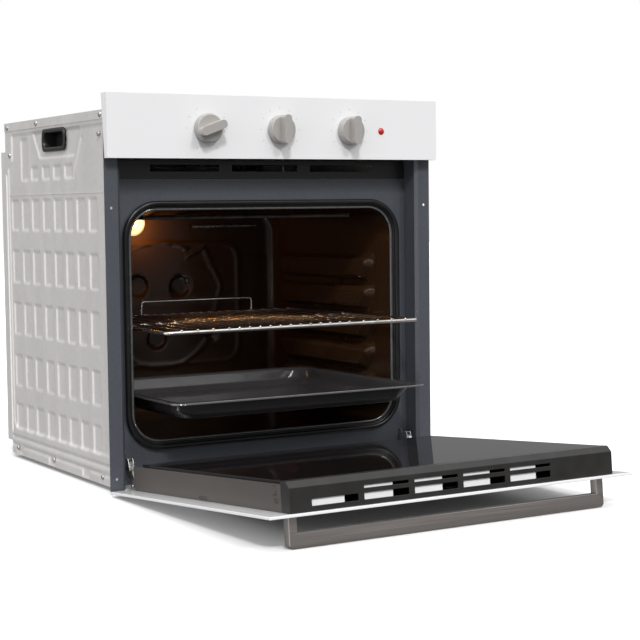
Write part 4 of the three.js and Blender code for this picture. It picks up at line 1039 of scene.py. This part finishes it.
def cavity_liner(sizes):
    """The cavity as one sheet: straight walls, a cove at the back, and the back wall."""
    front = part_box("cavity_floor")[0].y
    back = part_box("cavity_back")[0].y
    o = OPENING
    depth_steps, cove_steps, wall_steps = 84, 8, 50
    straight_end = back - sizes.back_cove
    sections = [(front + (straight_end - front) * n / depth_steps, 0.0) for n in range(depth_steps + 1)]
    for n in range(1, cove_steps + 1):
        turn = math.pi / 2 * n / cove_steps
        sections.append((straight_end + sizes.back_cove * math.sin(turn), 1 - math.cos(turn)))
    rings = []
    for y, share in sections:
        inset_x, inset_z = sizes.back_cove * share, sizes.roof_cove * share
        radius = max(o["radius"] - inset_x, 0.012)
        low, high = o["low"] + inset_z, o["high"] - inset_z
        loop = rounded_loop(o["half"] - inset_x, low, high, radius, 86, 54, 8)
        rings.append([(x, y, z) for x, z in loop])
    piece = loft("cavity_liner", rings, (0.0, back, (o["low"] + o["high"]) / 2), wall_steps)
    press_guides(piece, sizes)
    press_back(piece, back)
    thicken(piece, SHEET_WALL, 1, 60)
    walls = ("cavity_floor", "cavity_roof", "cavity_wall_left", "cavity_wall_right", "cavity_back")
    hand_in(piece, "cabinet", "cavity_enamel", "cavity_enamel", *walls)


GUIDE_LEVELS = (136, 187, 238, 289, 340)


def press_guides(piece, sizes):
    """Shelf guides: a long ridge under each level with a ramp in front and a stop bump."""
    slope = sizes.guide_slope / MM
    ridges, bumps = [], []
    for level in GUIDE_LEVELS:
        top, bottom = level - slope * 0.55, level - 37 + slope * 0.8
        ridges.append([(112, bottom), (380, bottom), (386, top), (92, top), (92, top - 6)])
        bumps.append(disc((188, level - 35.5), 4.5, 12))
    for _, sign in SIDES:
        wall_x = sign * OPENING["half"]
        press(piece, ridges, X, wall_x, sizes.guide_slope, -sign * sizes.guide_depth)
        press(piece, bumps, X, wall_x, 0.008, -sign * sizes.guide_depth * 0.35)


# The figures pressed into the cavity's back wall, in millimetres (x, z).
BACK_FRAME = {"half": 158, "low": 142, "high": 364, "corner": 30}
SWIRL = {"centre": (-2, 252), "radius": 115, "start": 62, "end": 332}
SWIRL_TAIL = [(52, 340), (87, 356), (122, 285), (100, 200)]
EYES = ((-46, 288), (37, 285), (-10, 191))
DIMPLE = (100, 194)


def press_back(piece, back):
    """The pressed figures on the back wall."""
    half, low, high, corner = BACK_FRAME.values()
    side, bottom, top = half - corner, low + corner, high - corner
    lines = [stroke(-side, b, side, b) for b in (high, low)]
    lines += [stroke(a, bottom, a, top) for a in (-half, half)]
    for n, centre in enumerate(((side, top), (-side, top), (-side, bottom), (side, bottom))):
        lines += arc_strokes(centre, corner, 90 * n, 90 * n + 90, 6)
    press(piece, lines, Y, back, 0.0045, -0.0022)
    swirl = arc_strokes(*SWIRL.values(), 54) + [stroke(*a, *b) for a, b in zip(SWIRL_TAIL, SWIRL_TAIL[1:])]
    press(piece, swirl, Y, back, 0.004, -0.0022)
    press(piece, [disc(c, 15) for c in EYES] + [disc(DIMPLE, 7)], Y, back, 0.008, 0.0055)
    press(piece, [disc(c, 5) for c in EYES], Y, back, 0.005, -0.004)


class OVEN_OT_controls(bpy.types.Operator):
    """Control fascia, knobs, pilot lamp and printed dial marks."""

    bl_idname = "oven.controls"
    bl_label = "Controls"

    def execute(self, context):
        softened("control_fascia", 0.0007, "cabinet", "white_enamel", "white_enamel", 3)
        for name in ("selector", "timer", "thermostat"):
            softened(f"{name}_knob", 0.0008, name, "knob_plastic", "knob_plastic", 3)
        softened("pilot_lamp", 0.0003, "cabinet", "red_lens", "red_lens")
        dress("zinc_sheet", "switch_bracket")
        dress("steatite", "selector_switch")
        dress("black_plastic", "timer_unit")
        dress("zinc_plated_steel", "thermostat_body")
        dial_marks(context.scene.oven_sizes.tick)
        return {"FINISHED"}


# Where each dial has its marks, in degrees from the top.
DIALS = {
    "selector_turn": (-60, 60, 90, 150, 210, 270, 330),
    "timer_turn": tuple(range(-150, 180, 30)),
    "thermostat_turn": tuple(range(-150, 180, 30)),
}
MARK = {"from_centre": 0.0345, "width": 0.0009, "height": 0.00006}


def dial_marks(tick):
    """Thin printed marks round each knob, one small slab for each."""
    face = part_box("control_fascia")[0].y
    a, b = MARK["width"] / 2, tick / 2
    shape = slabs("tick_shape", [rectangle(-a, a, -b, b)], 0, MARK["height"])
    spots = []
    for joint in frame["joints"]:
        for angle in DIALS.get(joint["name"], ()):
            x, _, z = joint["pos_m"]
            side, up = polar((x, z), MARK["from_centre"], 90 - angle)
            spots.append(((side, face, up), (0, -1, 0), math.pi - math.radians(angle)))
    hand_in(scatter("dial_marks", spots, shape, "dial_print"), "cabinet", None, "white_enamel")


# The slots in the door's top trim, in millimetres, and how much of each one's width is white.
VENTS = {"pitch": 79, "width": 70, "y": (-9.5, 10.5), "single_y": 0.5}
VENTS_SHOWN = (0.72, 0.66, 0.66, 0.66, 0.66)
VENT_DEPTH = 0.0028
PLATE = 0.0006


def vent_baffles():
    """White plates that show through part of each slot in the door's top trim."""
    top = shut_box("door_top_trim")[1].z - VENT_DEPTH
    low_y, high_y = VENTS["y"]
    outlines = []
    for n, share in enumerate(VENTS_SHOWN):
        left = (n - 2.5) * VENTS["pitch"] - VENTS["width"] / 2 - 0.5
        end = high_y if n else VENTS["single_y"]
        outlines.append(metres(rectangle(left, left + VENTS["width"] * share, low_y, end)))
    plates = slabs("vent_baffles", outlines, top - PLATE, top)
    plates.data.transform(DOOR_TURN)
    hand_in(plates, "door", "white_enamel", "white_enamel")


def channel_tabs(side, sign):
    """The punched outlines near the front end of a door channel."""
    low, high = shut_box(f"door_channel_{side}")
    x = sign * (max(abs(low.x), abs(high.x)) - 0.0002)
    top = high.z / MM
    tab = [(6, top - 22), (6, top - 12), (18, top - 12), (18, top - 22)]
    window = [(-4, top - 16), (-4, top - 8), (1, top - 8), (1, top - 16), (-4, top - 16)]
    notch = [(-13, 240), (-13, 262), (-10, 262), (-10, 240), (-13, 240)]
    spots, links = [], []
    for path in (tab, window, notch):
        links += [(len(spots) + n, len(spots) + m) for n, m in loop_edges(len(path), closed=False)]
        spots += [(x, y, z) for y, z in metres(path)]
    lines = mesh_piece(f"channel_tabs_{side}", spots, [], links)
    grow(lines, "Bead", "dark_enamel", Radius=0.0008, Sides=8)
    lines.data.transform(DOOR_TURN)
    hand_in(lines, "door", None, "dark_enamel")


class OVEN_OT_door(bpy.types.Operator):
    """Door: panes, channels, vented trim and bottom rail."""

    bl_idname = "oven.door"
    bl_label = "Door"

    def execute(self, context):
        edge = context.scene.oven_sizes.edge
        softened("outer_glass", 0.0008, "door", "door_front_glass", "white_glass", 3)
        softened("inner_glass", 0.0008, "door", "screening_glass", "dark_glass", 3)
        for side, _ in SIDES:
            softened(f"door_channel_{side}", edge, "door", "channel_paint", "channel_paint")
        softened("door_top_trim", 0.0007, "door", "black_plastic", "black_plastic", 3)
        softened("door_bottom_rail", edge, "door", "dark_enamel", "dark_enamel")
        vent_baffles()
        for side, sign in SIDES:
            channel_tabs(side, sign)
        return {"FINISHED"}


def extruded(name, outline, low, high, width):
    """A flat outline (x, y) raised from low to high, its edges rounded."""
    count = len(outline)
    points = [(x, y, z) for z in (low, high) for x, y in outline]
    caps = [tuple(range(count)), tuple(range(count, 2 * count))]
    piece = outwards(mesh_piece(name, points, caps + ring_faces(2, count)))
    with editing(piece.data) as work:
        round_edges(work, work.edges[:], width, 3)
    return smooth(piece, 40)


class OVEN_OT_handle(bpy.types.Operator):
    """Door handle: bar and posts as one mitred bow."""

    bl_idname = "oven.handle"
    bl_label = "Handle"

    def execute(self, context):
        low, high = shut_box("handle_bar")
        post_low, post_high = shut_box("handle_post_right")
        inner = high.x - (post_high.x - post_low.x)
        corner = 0.0035
        bend = [(high.x, post_high.y), (high.x, low.y + corner), (high.x - corner, low.y)]
        outer = [(-x, y) for x, y in bend] + bend[::-1]
        inside = [(inner, post_high.y), (inner, high.y), (-inner, high.y), (-inner, post_high.y)]
        bow = extruded("handle_bow", outer + inside, low.z, high.z, 0.0009)
        bow.data.transform(DOOR_TURN)
        nodes = ("handle_bar", "handle_post_left", "handle_post_right")
        hand_in(bow, "door", "brushed_handle", "handle_metal", *nodes)
        return {"FINISHED"}


class OVEN_OT_hinges(bpy.types.Operator):
    """Hinge arms, clips, receivers and cases."""

    bl_idname = "oven.hinges"
    bl_label = "Hinges"

    def execute(self, context):
        edge = context.scene.oven_sizes.edge
        for side, _ in SIDES:
            softened(f"hinge_arm_{side}", 0.0006, "cabinet", "zinc_plated_steel", "steel")
            softened(f"hinge_receiver_{side}", edge, "cabinet", "zinc_sheet", "galvanised")
            softened(f"hinge_clip_{side}", edge, f"clip_{side}", "zinc_plated_steel", "steel")
            softened(f"hinge_case_{side}", edge, "door", "zinc_plated_steel", "steel")
        return {"FINISHED"}


class OVEN_OT_shelf(bpy.types.Operator):
    """Wire shelf."""

    bl_idname = "oven.shelf"
    bl_label = "Shelf"

    def execute(self, context):
        wire_shelf(context.scene.oven_sizes)
        return {"FINISHED"}


WIRE_PITCHES = (26.8,) * 4 + (18.05,) * 12 + (26.8,) * 4
WIRE_SHIFT = -14
SHELF_STOP = {"left": -0.091, "right": 0.127, "radius": 0.0019, "bend": 0.006}


def bent(points, radius, steps=5):
    """A line through points with its corners rounded."""
    points = [Vector(p) for p in points]
    rounded = [points[0]]
    for before, corner, after in zip(points, points[1:], points[2:]):
        start = corner + (before - corner).normalized() * radius
        end = corner + (after - corner).normalized() * radius
        for n in range(steps + 1):
            t = n / steps
            rounded.append(start * (1 - t) ** 2 + corner * 2 * t * (1 - t) + end * t * t)
    return rounded + [points[-1]]


def wire_shelf(sizes):
    """The shelf's rods, each a bead along a line, joined into one piece."""
    low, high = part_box("shelf_rack")
    rail, wire, stop = sizes.rail, sizes.wire, SHELF_STOP
    z, side, front, back = low.z + rail, high.x - rail, low.y + rail, high.y - 0.003
    corners = [(0, front), (side, front), (side, back), (-side, back), (-side, front), (0, front)]
    rim = bent([(x, y, z) for x, y in corners], 0.010)[:-1]
    brace = [(sign * side, (front + back) / 2, z) for _, sign in SIDES]
    left, right, crest = stop["left"], stop["right"], high.z - 0.002
    rise = [(left, z), (left, crest), (right, crest), (right, z)]
    fence = bent([(x, back, height) for x, height in rise], stop["bend"])
    x = WIRE_SHIFT - sum(WIRE_PITCHES) / 2
    fronts, backs = [], []
    for pitch in WIRE_PITCHES:
        x += pitch
        if x * MM <= side - 0.0134:
            fronts.append((x * MM, front - 0.0012, z + rail))
            backs.append((x * MM, back, z + rail))
    links = [(n, len(fronts) + n) for n in range(len(fronts))]
    rods = [
        ("shelf_frame", rim, loop_edges(len(rim)), rail, 12),
        ("shelf_brace", brace, loop_edges(2, closed=False), rail * 0.7, 12),
        ("shelf_stop", fence, loop_edges(len(fence), closed=False), stop["radius"], 12),
        ("shelf_wires", fronts + backs, links, wire, 10),
    ]
    made = []
    for name, spots, edges, radius, sides in rods:
        made.append(mesh_piece(name, spots, [], edges))
        grow(made[-1], "Bead", "chrome_wire", Radius=radius, Sides=sides)
    made.append(wire_ends(fronts, wire * 1.45))
    hand_in(smooth(join_pieces("wire_shelf", made), 50), "shelf", None, "chrome", "shelf_rack")


def wire_ends(spots, radius):
    """The melted round ends of the shelf's wires on its front rail."""
    shape = mesh_piece("wire_end", [], [])
    with editing(shape.data) as work:
        bmesh.ops.create_icosphere(work, subdivisions=2, radius=radius)
    return scatter("wire_ends", [(spot, (0, 0, 1), 0.0) for spot in spots], shape, "chrome_wire")


def join_pieces(name, pieces):
    """One piece from several that share a finish."""
    joined = mesh_piece(name, [], [])
    with editing(joined.data) as work:
        for piece in pieces:
            work.from_mesh(piece.data)
    for material in pieces[0].data.materials:
        joined.data.materials.append(material)
    drop(*pieces)
    return joined


class OVEN_OT_tray(bpy.types.Operator):
    """Baking tray."""

    bl_idname = "oven.tray"
    bl_label = "Tray"

    def execute(self, context):
        baking_tray()
        return {"FINISHED"}


TRAY_SLOT = {"width": 7, "length": 62, "slant": 4, "from_edge": 4.5, "fronts": (-72, 205)}
TRAY = {"wall_inset": 0.0165, "foot_inset": 0.022, "shoulder": 0.0035, "foot": 0.0080, "cove": 0.0081}
# How much less than the tray's depth its sloping wall falls.
TRAY_WALL_ENDS = 0.0125
TRAY_RIM = {"inset": 0.0014, "radius": 0.0013, "corner": 0.0166}


def tray_slots(half_x, top):
    """Painted shade for the long slots in the tray's side flanges: the flange is not cut, and thin dark plates
    lie on its top where the slots would show only shade.
    """
    slot, slant, outlines = TRAY_SLOT, TRAY_SLOT["slant"], []
    outer = half_x / MM - slot["from_edge"]
    inner = outer - slot["width"]
    for _, sign in SIDES:
        for front in slot["fronts"]:
            back = front + slot["length"]
            outline = [(inner, front + slant), (outer, front), (outer, back), (inner, back - slant)]
            outlines.append(metres((sign * a, b) for a, b in outline))
    plates = outwards(slabs("tray_slots", outlines, top - PLATE, top))
    hand_in(plates, "tray", "dark_enamel", "dark_enamel")


def tray_profile(depth):
    """The tray's section from its rim inwards: inset, height below the top, and corner radius in mm."""
    profile = [(0.0, -0.0030, 18), (0.0003, -0.0012, 18), (0.0014, -0.0002, 18), (0.0030, 0.0, 18)]
    profile += [(0.0125, -0.0002, 16), (0.0150, -0.0012, 20), (TRAY["wall_inset"], -TRAY["shoulder"], 24)]
    slant, fall = TRAY["foot_inset"] - TRAY["wall_inset"], depth - TRAY_WALL_ENDS
    for n in range(1, 5):
        share = n / 5
        profile.append((TRAY["wall_inset"] + slant * share, -TRAY["shoulder"] - fall * share, 24 + 2 * n))
    for n in range(6):
        turn = math.sin(math.pi / 2 * n / 5)
        height = SOLE - depth + TRAY["foot"] * (1 - turn)
        profile.append((TRAY["foot_inset"] + TRAY["cove"] * turn, height, 34))
    return profile


def baking_tray():
    """An enamelled tray: rolled rim, flat flange, rounded walls and bottom, as one lofted shell."""
    low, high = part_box("baking_tray")
    centre_y, half_x, half_y = (low.y + high.y) / 2, high.x, (high.y - low.y) / 2
    rings = []
    for inset, height, radius in tray_profile(high.z - low.z):
        loop = rounded_loop(half_x - inset, inset - half_y, half_y - inset, radius * MM, 30, 30, 8)
        rings.append([(x, centre_y + y, high.z + height) for x, y in loop])
    piece = loft("enamel_tray", rings, (0, centre_y, low.z + SOLE), 10)
    turn_towards(piece, Vector((0, 0, 1)), lambda middle: middle.z < low.z + 2 * SOLE)
    thicken(piece, SHEET_WALL, -1, 60)
    inset = TRAY_RIM["inset"]
    loop = rounded_loop(half_x - inset, inset - half_y, half_y - inset, TRAY_RIM["corner"], 4, 4, 10)
    spots = [(x, centre_y + y, high.z - inset) for x, y in loop]
    # The tray's rolled rim is the tray's enamel, given the same painted highlight grey.
    roll = mesh_piece("tray_rim", spots, [], loop_edges(len(spots)))
    grow(roll, "Bead", "lip_enamel", Radius=TRAY_RIM["radius"], Sides=10)
    hand_in(smooth(outwards(roll), 60), "tray", None, "tray_enamel")
    # The flange slots are painted shade, not holes.
    tray_slots(half_x, high.z)
    hand_in(piece, "tray", "tray_enamel", "tray_enamel", "baking_tray")


class OVEN_OT_cooling(bpy.types.Operator):
    """Finishes of the cooling parts under the top cover."""

    bl_idname = "oven.cooling"
    bl_label = "Cooling"

    def execute(self, context):
        dress("zinc_sheet", "partition_plate", "air_duct", "fan_housing")
        dress("mill_aluminium", "fan_impeller")
        dress("zinc_plated_steel", "fan_motor")
        return {"FINISHED"}


CAMERA = {"yaw": 0.537, "pitch": 0.070, "roll": -0.012, "lens": 89.33}
CAMERA_PLACE = (-1.2419, -2.2186, 0.4254)
FLOOR_REACH = 14.0


def sun(name, towards, strength, spread):
    """A broad even light that shines along a direction."""
    light = bpy.data.lights.new(name, "SUN")
    light.energy = strength
    light.angle = math.radians(spread)
    placed(name, light).rotation_euler = Vector(towards).to_track_quat("-Z", "Y").to_euler()


def studio_sky(tree, strength):
    """White to the eye, and for light a soft sky that is brighter above and at the left."""
    backdrop = tree.nodes["Background"]
    backdrop.inputs["Color"].default_value = (1, 1, 1, 1)
    towards = node(tree, "ShaderNodeSeparateXYZ", {0: node(tree, "ShaderNodeTexCoord").outputs["Generated"]})
    dim, bright = 0.6 * strength, 2.9 * strength
    upwards = {"Value": towards.outputs["Z"], "From Max": 0.7, "To Min": dim, "To Max": bright}
    leftwards = {"Value": towards.outputs["X"], "From Min": -0.6, "From Max": -1.0, "To Max": bright}
    shares = [
        node(tree, "ShaderNodeMapRange", inputs, interpolation_type="SMOOTHSTEP").outputs[0]
        for inputs in (upwards, leftwards)
    ]
    light = node(tree, "ShaderNodeMath", dict(enumerate(shares)), operation="ADD")
    sight = node(tree, "ShaderNodeLightPath").outputs["Is Camera Ray"]
    seen = node(tree, "ShaderNodeMix", {0: sight, 2: light.outputs[0], 3: 1.0})
    tree.links.new(seen.outputs[0], backdrop.inputs["Strength"])


def oven_lamp(power, light):
    """The light of the oven's lamp, just in front of its lens."""
    lamp = bpy.data.lights.new("oven_lamp", "POINT")
    lamp.energy = power
    lamp.color = light
    lamp.shadow_soft_size = 0.012
    low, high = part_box("lamp_lens")
    middle = (low + high) / 2
    holder = placed("oven_lamp", lamp)
    holder.location = (middle.x, low.y - 0.014, middle.z - 0.004)
    holder.visible_glossy = False


def eye():
    """The camera, turned by its yaw, pitch and roll."""
    camera = bpy.data.cameras.new("camera")
    camera.lens = CAMERA["lens"]
    camera.sensor_width = 36.0
    camera.clip_end = 60.0
    yaw, pitch, roll = CAMERA["yaw"], CAMERA["pitch"], CAMERA["roll"]
    forward = Vector((math.sin(yaw) * math.cos(pitch), math.cos(yaw) * math.cos(pitch), -math.sin(pitch)))
    level = Vector((math.cos(yaw), -math.sin(yaw), 0))
    right = level * math.cos(roll) + level.cross(forward) * math.sin(roll)
    turn = Matrix((right, right.cross(forward), -forward)).transposed()
    holder = placed("camera", camera)
    holder.matrix_world = Matrix.Translation(CAMERA_PLACE) @ turn.to_4x4()
    return holder


class OVEN_OT_stage(bpy.types.Operator):
    """Floor, lights and camera."""

    bl_idname = "oven.stage"
    bl_label = "Stage"

    def execute(self, context):
        stage = context.scene.oven_stage
        floor_z = CAD_BOX[0].z - stage.floor_gap
        corners = rectangle(-FLOOR_REACH, FLOOR_REACH, -FLOOR_REACH, FLOOR_REACH)
        floor = mesh_piece("floor", [(x, y, floor_z) for x, y in corners], [(0, 1, 2, 3)])
        floor.data.materials.append(Finish.made["pale_floor"])
        floor.visible_diffuse = False
        floor.visible_glossy = False
        world = bpy.data.worlds.new("studio")
        world.use_nodes = True
        studio_sky(world.node_tree, stage.sky)
        context.scene.world = world
        context.scene.view_settings.view_transform = "Standard"
        sun("key", (-0.20, 0.78, -0.58), stage.key, 9)
        sun("overhead", (-0.1, 0.2, -1.0), stage.overhead, 60)
        sun("side", (0.30, 0.70, -0.65), stage.side, 7)
        oven_lamp(stage.lamp, context.scene.oven_finishes.lamp)
        context.scene.camera = eye()
        return {"FINISHED"}


OPERATORS = (
    OVEN_OT_finishes,
    OVEN_OT_casing,
    OVEN_OT_screws,
    OVEN_OT_front_frame,
    OVEN_OT_gasket,
    OVEN_OT_cavity,
    OVEN_OT_controls,
    OVEN_OT_door,
    OVEN_OT_handle,
    OVEN_OT_hinges,
    OVEN_OT_shelf,
    OVEN_OT_tray,
    OVEN_OT_cooling,
    OVEN_OT_stage,
)


class OVEN_PT_panel(bpy.types.Panel):
    """Lists the oven's sizes, finishes and steps."""

    bl_label = "Built-in Oven"
    bl_idname = "OVEN_PT_panel"
    bl_space_type = "VIEW_3D"
    bl_region_type = "UI"
    bl_category = "Oven"

    def draw(self, context):
        for group in (context.scene.oven_sizes, context.scene.oven_finishes, context.scene.oven_stage):
            box = self.layout.box()
            for name in group.__annotations__:
                box.prop(group, name)
        for operator in OPERATORS:
            self.layout.operator(operator.bl_idname)


GROUPS = (("oven_sizes", OvenSizes), ("oven_finishes", OvenFinishes), ("oven_stage", OvenStage))


def register():
    for name, group in GROUPS:
        bpy.utils.register_class(group)
        setattr(bpy.types.Scene, name, bpy.props.PointerProperty(type=group))
    for operator in OPERATORS:
        bpy.utils.register_class(operator)
    bpy.utils.register_class(OVEN_PT_panel)


def unregister():
    bpy.utils.unregister_class(OVEN_PT_panel)
    for operator in reversed(OPERATORS):
        bpy.utils.unregister_class(operator)
    for name, group in reversed(GROUPS):
        delattr(bpy.types.Scene, name)
        bpy.utils.unregister_class(group)


def main():
    register()
    for operator in OPERATORS:
        group, name = operator.bl_idname.split(".")
        getattr(getattr(bpy.ops, group), name)()
    bpy.context.view_layer.update()


if __name__ == "__main__":
    main()
